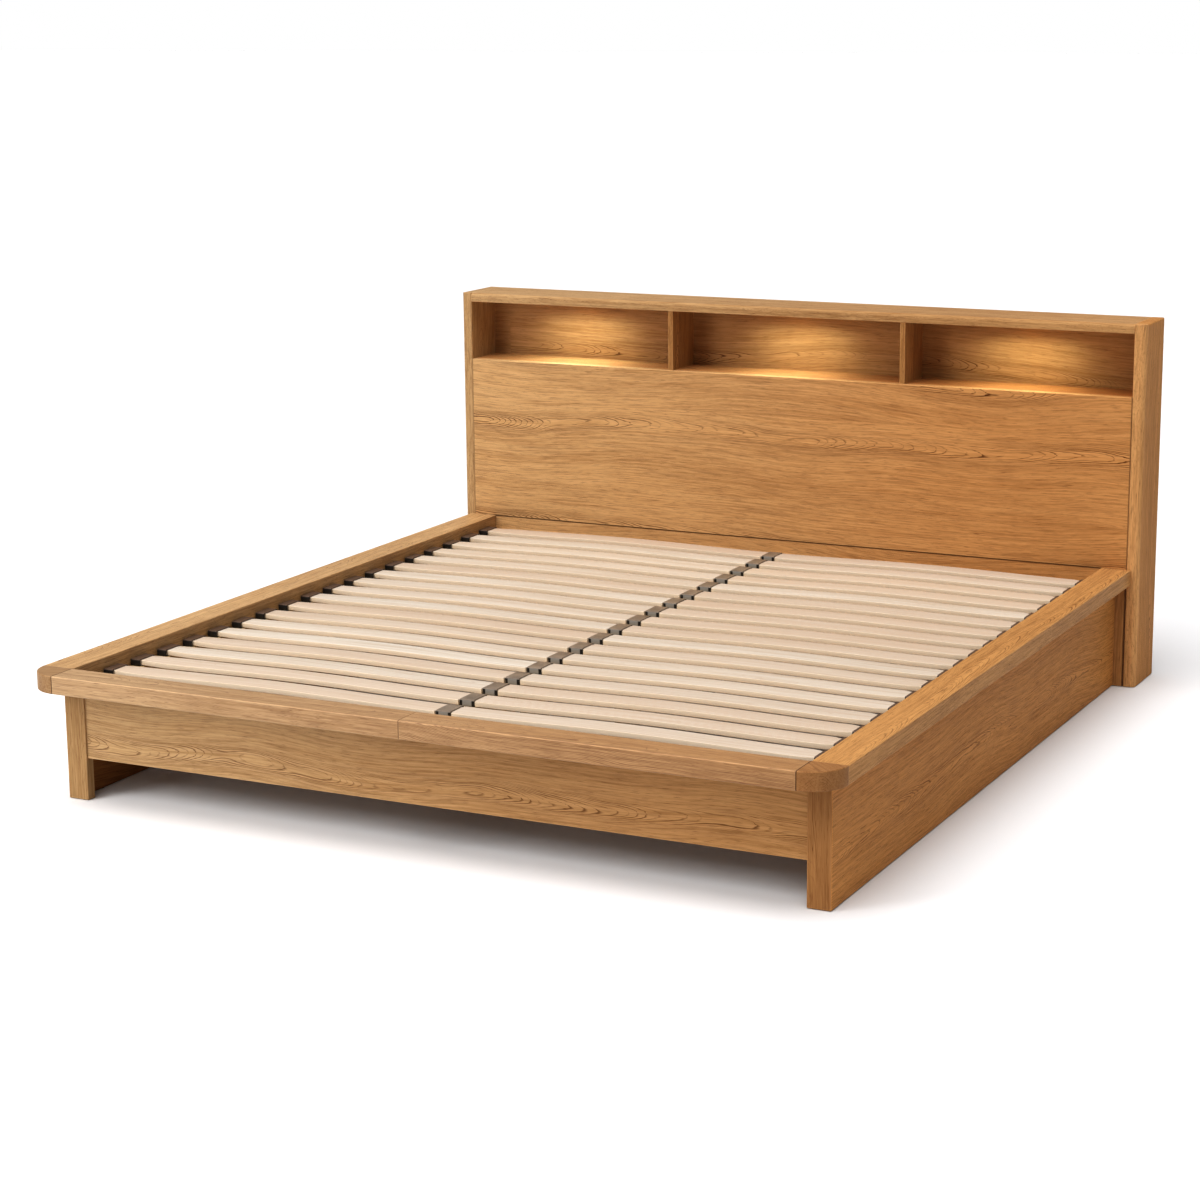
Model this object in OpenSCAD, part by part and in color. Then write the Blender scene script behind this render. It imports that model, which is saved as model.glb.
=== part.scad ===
// Low platform bed: a flat rim overhangs a box of full-length boards, slats lie in a shallow
// recess inside the rim, and a storage headboard with three lit niches closes the head end.
// +X is to the right seen from the foot, +Y runs from the foot to the headboard, +Z is up.
// The origin is on the floor, in the middle of the whole bed's footprint.

/* [Mattress] */
// Width of the mattress that the recess takes
mattress_w = 1800; // [1400:10:2000]
// Length of the mattress
mattress_l = 2000; // [1900:10:2200]
// Gap between the mattress and the rim, on each side
mattress_gap = 5; // [2:1:12]

/* [Rim] */
// Width of the rim boards, seen from above
rim_w = 80; // [66:1:110]
// Thickness of the rim boards
rim_t = 42; // [30:1:55]
// Height of the rim's top face above the floor
rim_top = 316; // [290:1:420]
// Rounding of the rim's long edges
rim_edge_r = 3; // [1:0.5:8]
// Chamfer at the ends of the rim boards, which draws the joint lines
joint_chamfer = 1.4; // [0.6:0.1:3]
// Diameter of the dowels in the rim joints
rim_dowel_d = 10; // [6:1:12]
// Length of the dowels in the rim joints
rim_dowel_l = 60; // [40:2:80]

/* [Bed box] */
// Thickness of the side boards and leg boards
board_t = 25; // [20:1:32]
// How far the rim reaches past the outer face of a side board
side_overhang = 40; // [20:1:60]
// How far the rim reaches past the front face of the leg boards
foot_overhang = 95; // [80:1:120]
// Width of a leg board, seen from the foot
leg_w = 54; // [46:1:80]
// Rounding of the mitred outer corner of a leg
leg_corner_r = 3; // [1:0.5:8]
// Thickness of the foot rail
foot_rail_t = 19; // [16:1:23]
// Clear height under the foot rail and the head rail
rail_lift = 100; // [60:1:130]
// Softening of the long edges of plain boards
board_edge_r = 1.5; // [0.5:0.25:4]
// Side of the square posts inside the foot corners
post_side = 45; // [40:1:60]
// Thickness of the felt pads under every board that reaches the floor
felt_t = 2; // [1:0.5:5]
// Diameter of the felt pads
felt_d = 20; // [12:1:20]

/* [Slatted base] */
// Width of a slat
slat_w = 63; // [56:1:80]
// Width of the narrowed ends that lie in the holders
slat_end_w = 48; // [36:1:52]
// Length over which a left slat narrows towards its outer end
slat_taper_left = 70; // [10:5:120]
// Length over which a right slat narrows towards its outer end
slat_taper_right = 20; // [10:5:120]
// Distance from a double cap to the slat's shoulder
slat_shoulder = 2; // [1:0.5:20]
// Thickness of a slat
slat_t = 12; // [8:1:18]
// Distance from one slat row to the next
slat_pitch = 105.5; // [92:0.5:150]
// Rise of a slat in the middle of its span
slat_crown = 5; // [1:0.5:12]
// Distance from the foot rim's inner face to the first slat
first_slat = 4; // [2:1:60]
// Play above and below a slat in its holders
slat_play = 0.2; // [0.1:0.05:0.6]
// Length of a left end holder across the bed
holder_l_left = 26; // [20:1:70]
// Length of a right end holder across the bed
holder_l_right = 37; // [20:1:70]
// Inside width of holders and caps, along the bed
pocket_w = 56; // [54:1:72]
// Gap between an end holder and the rim
holder_gap = 2; // [0.5:0.5:4]
// Thickness of a holder's floor, roof and cheeks
holder_wall = 2; // [1.5:0.25:3]
// Width of a double cap on the centre beam
cap_w = 36; // [30:1:48]
// Thickness of the web between a cap's two pockets
cap_web = 4; // [3:0.5:8]
// Diameter of the pegs under holders and caps
peg_d = 8; // [5:0.5:10]
// Length of the pegs
peg_l = 12; // [8:1:20]
// Distance from a holder's middle to its peg, towards the headboard
peg_shift = 16; // [12:1:20]
// Distance from a holder's outer end to its peg
peg_inset = 13; // [8:1:20]
// Width of the slat bearers
bearer_w = 52; // [44:1:60]
// Height of the slat bearers
bearer_h = 40; // [30:1:60]
// Width of the centre beam
beam_w = 60; // [50:1:90]
// Height of the centre beam
beam_h = 50; // [40:1:80]
// Side of a centre leg
centre_leg_side = 50; // [44:1:60]

/* [Levelling feet] */
// Diameter of a levelling foot
level_d = 40; // [30:1:44]
// Height of a levelling foot's pad with its hub
level_h = 8; // [6:1:12]
// Upward travel of a levelling foot before its hub meets the leg
level_travel = 12; // [8:1:20]
// Diameter of the threaded stud
stud_d = 8; // [6:1:10]
// Length of the stud above the hub
stud_l = 45; // [38:1:60]
// Radial running clearance of the stud in its insert
stud_clear = 0.05; // [0.02:0.01:0.1]
// Wall of the threaded insert
insert_wall = 2; // [1.5:0.25:3]
// Length of the threaded insert
insert_l = 15; // [10:1:20]

/* [Headboard] */
// Height of the headboard
head_h = 960; // [850:5:1200]
// Depth of the headboard
head_depth = 170; // [150:1:260]
// How far the headboard reaches past the rim on each side
head_reveal = 20; // [5:1:60]
// Thickness of the headboard's side boards
head_side_t = 32; // [24:1:40]
// Rounding of the outer front edge of the side boards
head_side_r = 15; // [5:1:22]
// Thickness of the top board
top_t = 25; // [22:1:36]
// Rounding of the top board's upper front edge
top_front_r = 10; // [3:1:16]
// Height of the niches
niche_h = 165; // [120:5:260]
// Depth of the niches
niche_d = 140; // [110:1:148]
// Distance between the middles of the two niche dividers
divider_gap = 684; // [500:2:900]
// Thickness of a niche divider
divider_t = 15; // [12:1:24]
// How far a divider's front edge stands back
divider_setback = 2; // [0:0.5:10]
// Thickness of the niche floor board
shelf_t = 22; // [16:1:30]
// Thickness of the front panel and the head rail below it
front_t = 22; // [18:1:28]
// Thickness of the back panel
back_t = 12; // [9:1:18]
// Width of the headboard's front posts
head_post_w = 61; // [56:1:80]
// Depth of the headboard's front posts
head_post_t = 40; // [30:1:60]
// Thickness of the middle stiffener and the bottom stretcher
stiffener_t = 25; // [18:1:32]
// Height of the bottom stretcher
stretcher_h = 60; // [50:1:90]
// Diameter of the dowels in the headboard
head_dowel_d = 8; // [6:1:8]
// Length of the dowels in the headboard
head_dowel_l = 36; // [24:2:40]

/* [Lights] */
// Diameter of a light's body
light_d = 56; // [40:1:70]
// Depth of a light's body in the top board
light_h = 12; // [10:1:14]
// Width of the light's rim beyond its body
light_lip = 4; // [3:0.5:8]
// Thickness of the light's rim and of its diffuser
light_lip_t = 2; // [1.5:0.25:3]
// Wall of the light's body
light_wall = 3; // [2:0.25:4]
// Thickness of the light's circuit board
light_board_t = 1.2; // [0.8:0.2:2]
// Diameter of the lights' fixed wires
wire_d = 4; // [3:0.5:5]
// Width of the driver box
driver_w = 140; // [80:1:200]
// Depth of the driver box, which fits in the recess behind the back panel
driver_d = 16; // [12:1:17]
// Height of the driver box
driver_h = 55; // [40:1:80]
// Drop from the niches' floor to the driver box's underside
driver_drop = 120; // [60:10:400]
// Diameter of the driver's inlet socket
inlet_d = 5.6; // [4:0.1:8]
// Depth of the driver's inlet socket
inlet_l = 10; // [6:1:14]

/* [Hardware] */
// Thickness of the flat plates that carry the foot rims
plate_t = 4; // [3:0.5:6]
// Width of the flat plates
plate_w = 40; // [30:1:60]
// How far the plates stay behind the rim's front face
plate_setback = 20; // [15:1:30]
// Thickness of the brackets and hangers
bracket_t = 3; // [2:0.5:5]
// Length of each wing of a corner bracket
bracket_wing = 50; // [40:1:60]
// Height of a corner bracket
bracket_h = 100; // [80:2:110]
// Diameter of the screws and bolts
screw_d = 6; // [4:0.5:7]
// Diameter of the slimmer screws
slim_screw_d = 5; // [3.5:0.5:5]
// Diameter of the back panel's screws
panel_screw_d = 4; // [3:0.5:4]
// Height of a screw's head
screw_head_h = 1.5; // [1:0.25:1.75]
// Clearance round a screw or a dowel, on the radius
hole_clear = 0.1; // [0.05:0.05:0.4]

/* [Hidden] */
$fn = 48;

// Colours
oak = "#c4935a";
oak_end = "#a97745";
inner_wood = "#d9bd92";
slat_wood = "#e8d8bd";
dark_plastic = "#3b3531";
steel = "#9a9ca0";
lamp_white = "#f3efe6";
lamp_glow = "#ffd79a";
felt = "#6f675f";

// Overall places
inner_w = mattress_w + 2 * mattress_gap;
inner_l = mattress_l + 2 * mattress_gap;
half_in = inner_w / 2;
half_rim = half_in + rim_w;
half_head = half_rim + head_reveal;
depth_all = rim_w + inner_l + head_depth;
foot_y = -depth_all / 2;
rim_in_y = foot_y + rim_w;
head_y = rim_in_y + inner_l;

// Bed box
bearing_z = rim_top - rim_t;
panel_out = half_rim - side_overhang;
panel_in = panel_out - board_t;
leg_y = foot_y + foot_overhang;
leg_back = leg_y + board_t;
leg_in = panel_out - leg_w;
rail_front = leg_back - foot_rail_t;
rail_top = bearing_z - plate_t;
bearer_in = panel_in - bearer_w;
post_in = panel_in - post_side;
post_back = leg_back + post_side;
post_top = bearing_z - bearer_h;

// Slatted base
slat_z = bearing_z + holder_wall;
pocket_h = slat_t + 2 * slat_play;
holder_h = pocket_h + 2 * holder_wall;
holder_d = pocket_w + 2 * holder_wall;
holder_out = half_in - holder_gap;
slat_out = holder_out - holder_wall - 1;
slat_in = cap_web / 2 + 1;
rows = floor((inner_l - first_slat - slat_w) / slat_pitch) + 1;
row_y = [for (i = [0 : rows - 1]) rim_in_y + first_slat + slat_w / 2 + i * slat_pitch];

// Centre beam, its legs and their levelling feet
beam_z = bearing_z - beam_h;
beam_y0 = leg_back + bracket_t;
beam_y1 = head_y - bracket_t;
leg_z = level_h + level_travel;
leg_count = 3;
leg_ys = [for (i = [1 : leg_count]) beam_y0 + i * (beam_y1 - beam_y0) / (leg_count + 1)];
stud_room = 5;
hanger_arm = 50;
hanger_ear = 24;
hanger_top = rail_top - 2;

// Headboard
head_in = half_head - head_side_t;
rear_y = head_y + head_depth;
niche_z = head_h - top_t - niche_h;
ceiling_z = head_h - top_t;
front_back_y = head_y + front_t;
niche_back_y = head_y + niche_d;
back_face_y = niche_back_y + back_t;
divider_x = divider_gap / 2;
outer_niche_x = (divider_x + divider_t / 2 + head_in) / 2;
light_xs = [-outer_niche_x, 0, outer_niche_x];
light_y = head_y + niche_d / 2;
light_play = 0.2;

// Lights' wires and driver
wire_z = ceiling_z + light_h / 2;
wire_y = back_face_y + wire_d / 2;
wire_hole = wire_d + 2;
wire_run_z = ceiling_z - 60;
wire_port = 20;
driver_z = niche_z - driver_drop;
driver_top = driver_z + driver_h;
clip_w = 10;
light_outlets = [for (i = [0 : 2]) [
    [light_xs[i], light_y + light_d / 2, wire_z],
    [light_xs[i], wire_y, wire_z],
    [light_xs[i], wire_y, wire_run_z],
    [(i - 1) * wire_port, wire_y, wire_run_z],
    [(i - 1) * wire_port, wire_y, driver_top]
]];

// Hardware places; a screw bites into the last board that it holds by this share of it
bite = 0.7;
plate_xs = [for (s = [-1, 1], f = [0.28, 0.8]) s * f * half_in];
plate_y0 = foot_y + plate_setback;
rail_mid_y = (rail_front + leg_back) / 2;
bracket_z = rail_lift + 15;
bearer_screws = 6;
rim_dowel_across = 0.22 * rim_w;
rim_mid_z = bearing_z + rim_t / 2;
rim_dowel_low = rim_mid_z - 0.22 * rim_t;
rim_dowel_high = rim_mid_z + 0.22 * rim_t;
divider_dowel_d = 6;
divider_dowel_l = 20;

// ---------------------------------------------------------------- shared shapes

// One corner of a board's section, to be cut away for a rounding of radius r
module corner_waste(r) {
    if (r > 0) difference() {
        translate([-1, -1]) square(r + 1);
        translate([r, r]) circle(r);
    }
}

// Section of a board with its own rounding at each corner, from lower left anticlockwise
module section(w, h, r) {
    difference() {
        square([w, h]);
        corner_waste(r[0]);
        translate([w, 0]) mirror([1, 0]) corner_waste(r[1]);
        translate([w, h]) rotate(180) corner_waste(r[2]);
        translate([0, h]) mirror([0, 1]) corner_waste(r[3]);
    }
}

// Runs a section drawn in X and Z along Y, from y0 to y1
module along_y(y0, y1) {
    translate([0, y1, 0]) rotate([90, 0, 0]) linear_extrude(y1 - y0) children();
}

// Runs a section drawn in Y and Z along X, from x0 to x1
module along_x(x0, x1) {
    translate([x0, 0, 0]) rotate([90, 0, 90]) linear_extrude(x1 - x0) children();
}

// A plain box between two corners
module box(a, b) {
    translate(a) cube(b - a);
}

// A round bar of diameter d from point a, l long, along the direction dir
module bar(a, dir, l, d) {
    turn = dir == "x" ? [0, 90, 0] : dir == "y" ? [-90, 0, 0] : [0, 0, 0];
    translate(a) rotate(turn) cylinder(h = l, d = d);
}

// A screw whose head rests at point a and whose shank runs l along the direction dir,
// which is one of "x", "-x", "y", "-y", "z" and "-z"; grow widens it for its own hole
module screw(a, dir, l, d = screw_d, grow = 0) {
    turn = dir == "x" ? [0, 90, 0] : dir == "-x" ? [0, -90, 0] :
           dir == "y" ? [-90, 0, 0] : dir == "-y" ? [90, 0, 0] :
           dir == "-z" ? [180, 0, 0] : [0, 0, 0];
    translate(a) rotate(turn) {
        cylinder(h = l + grow, d = d + 2 * grow);
        if (grow == 0) translate([0, 0, -screw_head_h]) cylinder(h = screw_head_h, d = 2 * d);
    }
}

// The right-hand piece as drawn, or its mirror image on the left
module on_side(left) {
    if (left) mirror([1, 0, 0]) children();
    else children();
}

// ---------------------------------------------------------------- fixings, used twice each:
// once as the fixings themselves and once, grown by the clearance, as their holes

// Dowels in the rim's joints at one side, and half of those in the middle of the foot
module rim_dowel_set(grow = 0) {
    d = rim_dowel_d + 2 * grow;
    l = rim_dowel_l + 2 * grow;
    for (s = [-1, 1]) {
        across = rim_w / 2 + s * rim_dowel_across;
        bar([half_in - l / 2, foot_y + across, rim_dowel_low], "x", l, d);
        bar([half_in + across, rim_in_y - l / 2, rim_dowel_high], "y", l, d);
    }
}

// Dowels in the middle joint of the foot rim
module middle_dowel_set(grow = 0) {
    d = rim_dowel_d + 2 * grow;
    l = rim_dowel_l + 2 * grow;
    for (s = [-1, 1])
        bar([-l / 2, foot_y + rim_w / 2 + s * rim_dowel_across, rim_mid_z], "x", l, d);
}

// Screws through one flat plate: two up into the foot rim, one down into the foot rail
module plate_screw_set(grow = 0) {
    for (x = plate_xs) {
        for (f = [0.25, 0.75])
            screw([x, plate_y0 + f * (rim_in_y - plate_y0), rail_top], "z",
                  plate_t + 0.6 * rim_t, slim_screw_d, grow);
        screw([x, rail_mid_y, bearing_z], "-z", plate_t + 30, slim_screw_d, grow);
    }
}

// Bolts from the right corner post into the side board, the leg board and the foot rail
module post_bolt_set(grow = 0) {
    post_h = post_top - rail_lift;
    for (f = [0.25, 0.75])
        screw([post_in, post_back - post_side * 0.3, rail_lift + f * post_h], "x",
              post_side + bite * board_t, screw_d, grow);
    for (f = [0.5, 0.9])
        screw([(post_in + leg_in) / 2, post_back, rail_lift + f * post_h], "-y",
              post_side + bite * foot_rail_t, slim_screw_d, grow);
    for (f = [0.12, 0.62])
        screw([(leg_in + panel_in) / 2, post_back, rail_lift + f * post_h], "-y",
              post_side + 0.6 * board_t, screw_d, grow);
}

// Screws from the right bearer into the side board, and up through it into the side rim
module bearer_screw_set(grow = 0) {
    step = (head_y - leg_back) / bearer_screws;
    for (i = [0 : bearer_screws - 1]) {
        y = leg_back + (i + 0.5) * step;
        screw([bearer_in, y, post_top + 0.3 * bearer_h], "x", bearer_w + bite * board_t,
              screw_d, grow);
        screw([(half_in + panel_in) / 2, y + step / 4, post_top], "z",
              bearer_h + 0.6 * rim_t, slim_screw_d, grow);
    }
}

// Screws of both beam hangers into the foot rail and the head rail
module hanger_screw_set(grow = 0) {
    for (s = [-1, 1]) {
        x = s * (beam_w / 2 + bracket_t + hanger_ear / 2);
        z = (beam_z + hanger_top) / 2;
        screw([x, beam_y0, z], "-y", bracket_t + bite * foot_rail_t, screw_d, grow);
        screw([x, beam_y1, z], "y", bracket_t + bite * front_t, screw_d, grow);
    }
}

// Screws down through the beam into the centre legs, with their heads let in flush
module leg_screw_set(grow = 0) {
    for (y = leg_ys, s = [-1, 1])
        screw([s * 0.3 * centre_leg_side, y, bearing_z - screw_head_h], "-z",
              beam_h + 40, slim_screw_d, grow);
}

// Bolts of the right corner bracket into the side board and the head rail
module bracket_bolt_set(grow = 0) {
    for (f = [0.25, 0.75]) {
        z = bracket_z + f * bracket_h;
        screw([panel_in - bracket_t, head_y - 0.6 * bracket_wing, z], "x",
              bracket_t + bite * board_t, screw_d, grow);
        screw([panel_in - 0.7 * bracket_wing, head_y - bracket_t, z], "y",
              bracket_t + bite * front_t, screw_d, grow);
    }
}

// Screws from the right front post into the headboard's side board
module head_post_screw_set(grow = 0) {
    for (f = [0.15, 0.5, 0.85])
        screw([head_in - head_post_w, (front_back_y + head_y + head_post_t) / 2, f * rim_top],
              "x", head_post_w + 0.5 * head_side_t, screw_d, grow);
}

// Screws through the back panel into the shelf's edge and the stretcher
module back_screw_set(grow = 0) {
    for (x = [for (f = [-0.9, -0.54, -0.18, 0.18, 0.54, 0.9]) f * head_in],
         z = [niche_z - shelf_t / 2, rail_lift + stretcher_h / 2])
        screw([x, back_face_y, z], "-y", back_t + bite * stiffener_t, panel_screw_d, grow);
}

// Dowels between the headboard's cross pieces and the right side board
module head_dowel_set(grow = 0) {
    d = head_dowel_d + 2 * grow;
    l = head_dowel_l + 2 * grow;
    x = head_in - l / 2;
    panel_h = niche_z - rim_top;
    for (f = [0.15, 0.5, 0.85])
        bar([x, head_y + front_t / 2, rim_top + f * panel_h], "x", l, d);
    for (f = [0.35, 0.75]) {
        bar([x, head_y + f * niche_d, niche_z - shelf_t / 2], "x", l, d);
        bar([x, head_y + f * niche_d, ceiling_z + top_t / 2], "x", l, d);
    }
}

// Dowels between the head rail and the right front post
module rail_dowel_set(grow = 0) {
    d = head_dowel_d + 2 * grow;
    l = head_dowel_l + 2 * grow;
    for (f = [0.2, 0.8])
        bar([head_in - head_post_w - l / 2, head_y + front_t / 2,
             rail_lift + f * (rim_top - rail_lift)], "x", l, d);
}

// Dowels that stand in both ends of the right niche divider
module divider_dowel_set(grow = 0) {
    l = divider_dowel_l + 2 * grow;
    for (f = [0.35, 0.75], z = [niche_z, ceiling_z])
        bar([divider_x, head_y + f * niche_d, z - l / 2], "z", l, divider_dowel_d + 2 * grow);
}

// ---------------------------------------------------------------- headboard

// Full-height side board with a rounded front edge
module headboard_side(left) {
    on_side(left) color(oak) difference() {
        intersection() {
            translate([head_in, head_y, felt_t]) linear_extrude(head_h - felt_t)
                section(head_side_t, head_depth, [4, head_side_r, 3, 2]);
            translate([head_in, 0, felt_t]) along_y(head_y - 1, rear_y + 1)
                section(head_side_t, head_h - felt_t, [1, 1, 5, 1]);
        }
        head_dowel_set(hole_clear);
        head_post_screw_set(hole_clear);
    }
}

// Top board, let in between the side boards, with the lights' seats and wire holes
module headboard_top() {
    color(oak) difference() {
        translate([0, head_y, ceiling_z]) along_x(-head_in, head_in)
            section(head_depth, top_t, [2, 2, 2, top_front_r]);
        for (left = [true, false]) on_side(left) {
            head_dowel_set(hole_clear);
            divider_dowel_set(hole_clear);
        }
        for (x = light_xs) {
            translate([x, light_y, ceiling_z - 1])
                cylinder(h = light_h + 1 + light_play, d = light_d + 2 * light_play);
            bar([x, light_y, wire_z], "y", wire_y - light_y + wire_hole / 2, wire_hole);
            bar([x, wire_y, ceiling_z - 1], "z", light_h / 2 + 1, wire_hole);
        }
    }
}

// Niche floor, whose top is flush with the front panel's top edge
module niche_shelf() {
    color(oak) difference() {
        box([-head_in, front_back_y, niche_z - shelf_t], [head_in, niche_back_y, niche_z]);
        for (left = [true, false]) on_side(left) {
            head_dowel_set(hole_clear);
            divider_dowel_set(hole_clear);
        }
        back_screw_set(hole_clear);
    }
}

module niche_divider(left) {
    y0 = head_y + divider_setback;
    on_side(left) color(oak) difference() {
        translate([divider_x - divider_t / 2, y0, niche_z]) linear_extrude(niche_h)
            section(divider_t, niche_back_y - y0, [board_edge_r, board_edge_r, 0.5, 0.5]);
        divider_dowel_set(hole_clear);
    }
}

// Large front panel between the seam and the niches
module headboard_front_panel() {
    color(oak) difference() {
        translate([0, head_y, rim_top]) along_x(-head_in, head_in)
            section(front_t, niche_z - rim_top, [board_edge_r, 0.5, 0.5, board_edge_r]);
        for (left = [true, false]) on_side(left) head_dowel_set(hole_clear);
    }
}

// Rail below the seam, between the front posts
module head_rail() {
    half = head_in - head_post_w;
    color(oak) difference() {
        translate([0, head_y, rail_lift]) along_x(-half, half)
            section(front_t, rim_top - rail_lift,
                    [board_edge_r, board_edge_r, 0.5, board_edge_r]);
        for (left = [true, false]) on_side(left) {
            rail_dowel_set(hole_clear);
            bracket_bolt_set(hole_clear);
        }
        hanger_screw_set(hole_clear);
    }
}

// Back panel, set forward of the rear edges; it is also the back of the niches
module headboard_back_panel() {
    color(oak) difference() {
        box([-head_in, niche_back_y, rail_lift], [head_in, back_face_y, ceiling_z]);
        back_screw_set(hole_clear);
    }
}

// Front post, seen as the upright strip beside the bed's side board
module headboard_post(left) {
    on_side(left) color(oak) difference() {
        translate([head_in - head_post_w, head_y, felt_t]) linear_extrude(rim_top - felt_t)
            section(head_post_w, head_post_t, [0.5, board_edge_r, 0.5, 0.5]);
        rail_dowel_set(hole_clear);
        head_post_screw_set(hole_clear);
    }
}

module headboard_stiffener() {
    color(inner_wood)
        box([-stiffener_t / 2, front_back_y, rail_lift + stretcher_h],
            [stiffener_t / 2, niche_back_y, niche_z - shelf_t]);
}

module headboard_stretcher() {
    color(inner_wood) difference() {
        box([-head_in, niche_back_y - stiffener_t, rail_lift],
            [head_in, niche_back_y, rail_lift + stretcher_h]);
        back_screw_set(hole_clear);
    }
}

module headboard_dowels() {
    color(inner_wood) for (left = [true, false]) on_side(left) {
        head_dowel_set();
        rail_dowel_set();
        divider_dowel_set();
    }
}

// ---------------------------------------------------------------- lights

// Cup-shaped body with a flat lip, let into the underside of the top board
module light_bodies() {
    r = light_d / 2;
    color(lamp_white) for (x = light_xs) translate([x, light_y, ceiling_z]) difference() {
        union() {
            cylinder(h = light_h, r = r);
            translate([0, 0, -light_lip_t]) cylinder(h = light_lip_t, r = r + light_lip);
        }
        translate([0, 0, -light_lip_t - 1])
            cylinder(h = light_h + light_lip_t + 1 - light_wall, r = r - light_wall);
    }
}

module light_diffusers() {
    color(lamp_glow) for (x = light_xs) translate([x, light_y, ceiling_z - light_lip_t])
        cylinder(h = light_lip_t, r = light_d / 2 - light_wall - hole_clear);
}

module light_boards() {
    color("#e9e9e2") for (x = light_xs)
        translate([x, light_y, ceiling_z + light_h - light_wall - light_board_t])
            cylinder(h = light_board_t, r = light_d / 2 - light_wall - 0.5);
}

// Driver box on the back of the headboard, with its inlet socket in the underside
module light_driver() {
    color(lamp_white) difference() {
        translate([-driver_w / 2, back_face_y, driver_z]) linear_extrude(driver_h)
            section(driver_w, driver_d, [0, 0, 3, 3]);
        bar([0, back_face_y + driver_d / 2, driver_z - 1], "z", inlet_l + 1, inlet_d);
    }
}

// Fixed wires, each from its light over the back panel and down to the driver
module light_wires() {
    color("#2b2b2b") for (route = light_outlets) {
        for (i = [0 : len(route) - 2]) {
            step = route[i + 1] - route[i];
            if (step[1] > 0) bar(route[i], "y", step[1], wire_d);
            if (step[2] < 0) bar(route[i + 1], "z", -step[2], wire_d);
            if (abs(step[0]) > 0)
                bar(step[0] > 0 ? route[i] : route[i + 1], "x", abs(step[0]), wire_d);
        }
        for (i = [1 : len(route) - 2]) translate(route[i]) sphere(d = wire_d);
    }
}

// Saddle clips that hold the level runs of the wires to the back panel
module wire_clips() {
    reach = outer_niche_x - wire_port;
    color(lamp_white) for (s = [-1, 1], f = [0.2, 0.5, 0.8]) {
        x = s * (wire_port + f * reach);
        difference() {
            box([x - clip_w / 2, back_face_y, wire_run_z - wire_d],
                [x + clip_w / 2, wire_y + wire_d, wire_run_z + wire_d]);
            bar([x - clip_w, wire_y, wire_run_z], "x", 2 * clip_w, wire_d + 2 * hole_clear);
        }
    }
}

// ---------------------------------------------------------------- bed box

// Side board that reaches the floor, mitred at the foot
module side_board(left) {
    mid = leg_corner_r * (1 - sqrt(0.5));
    on_side(left) color(oak) difference() {
        intersection() {
            translate([panel_in, 0, felt_t]) along_y(leg_y, head_y)
                section(board_t, bearing_z - felt_t,
                        [board_edge_r, board_edge_r, board_edge_r, board_edge_r]);
            linear_extrude(rim_top) polygon([
                [panel_in, leg_back], [panel_out - mid, leg_y + mid],
                for (a = [-40 : 10 : 0]) [
                    panel_out - leg_corner_r * (1 - cos(a)),
                    leg_y + leg_corner_r * (1 + sin(a))
                ],
                [panel_out, head_y], [panel_in, head_y]
            ]);
        }
        post_bolt_set(hole_clear);
        bearer_screw_set(hole_clear);
        bracket_bolt_set(hole_clear);
    }
}

// Leg board across the foot end of a side board, with the grain upright
module leg_board(left) {
    mid = leg_corner_r * (1 - sqrt(0.5));
    on_side(left) color(oak) difference() {
        translate([0, 0, felt_t]) linear_extrude(bearing_z - felt_t) polygon([
            [leg_in, leg_y + board_edge_r], [leg_in + board_edge_r, leg_y],
            for (a = [-90 : 10 : -50]) [
                panel_out - leg_corner_r * (1 - cos(a)),
                leg_y + leg_corner_r * (1 + sin(a))
            ],
            [panel_out - mid, leg_y + mid], [panel_in, leg_back], [leg_in, leg_back]
        ]);
        post_bolt_set(hole_clear);
    }
}

// Foot rail, with its back flush with the leg boards' backs
module foot_rail() {
    color(oak) difference() {
        translate([0, rail_front, rail_lift]) along_x(-leg_in, leg_in)
            section(foot_rail_t, rail_top - rail_lift,
                    [board_edge_r, board_edge_r, 0.5, board_edge_r]);
        for (left = [true, false]) on_side(left) post_bolt_set(hole_clear);
        plate_screw_set(hole_clear);
        hanger_screw_set(hole_clear);
    }
}

// Short post behind a foot corner, which ties the side board, leg board and foot rail
module corner_post(left) {
    on_side(left) color(inner_wood) difference() {
        box([post_in, leg_back, rail_lift], [panel_in, post_back, post_top]);
        post_bolt_set(hole_clear);
    }
}

// ---------------------------------------------------------------- rim

rim_round = [rim_edge_r, rim_edge_r, rim_edge_r, rim_edge_r];

// Long side rim; its foot end is chamfered where it meets the rim corner
module rim_side(left) {
    c = joint_chamfer;
    on_side(left) color(oak) difference() {
        intersection() {
            translate([half_in, 0, bearing_z]) along_y(rim_in_y, head_y)
                section(rim_w, rim_t, rim_round);
            linear_extrude(rim_top + 1) polygon([
                [half_in, rim_in_y], [half_rim - c, rim_in_y], [half_rim, rim_in_y + c],
                [half_rim, head_y], [half_in, head_y]
            ]);
            along_x(half_in - 1, half_rim + 1) polygon([
                [rim_in_y, 0], [rim_in_y, rim_top - c], [rim_in_y + c, rim_top],
                [head_y, rim_top], [head_y, 0]
            ]);
        }
        rim_dowel_set(hole_clear);
        bearer_screw_set(hole_clear);
    }
}

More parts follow.
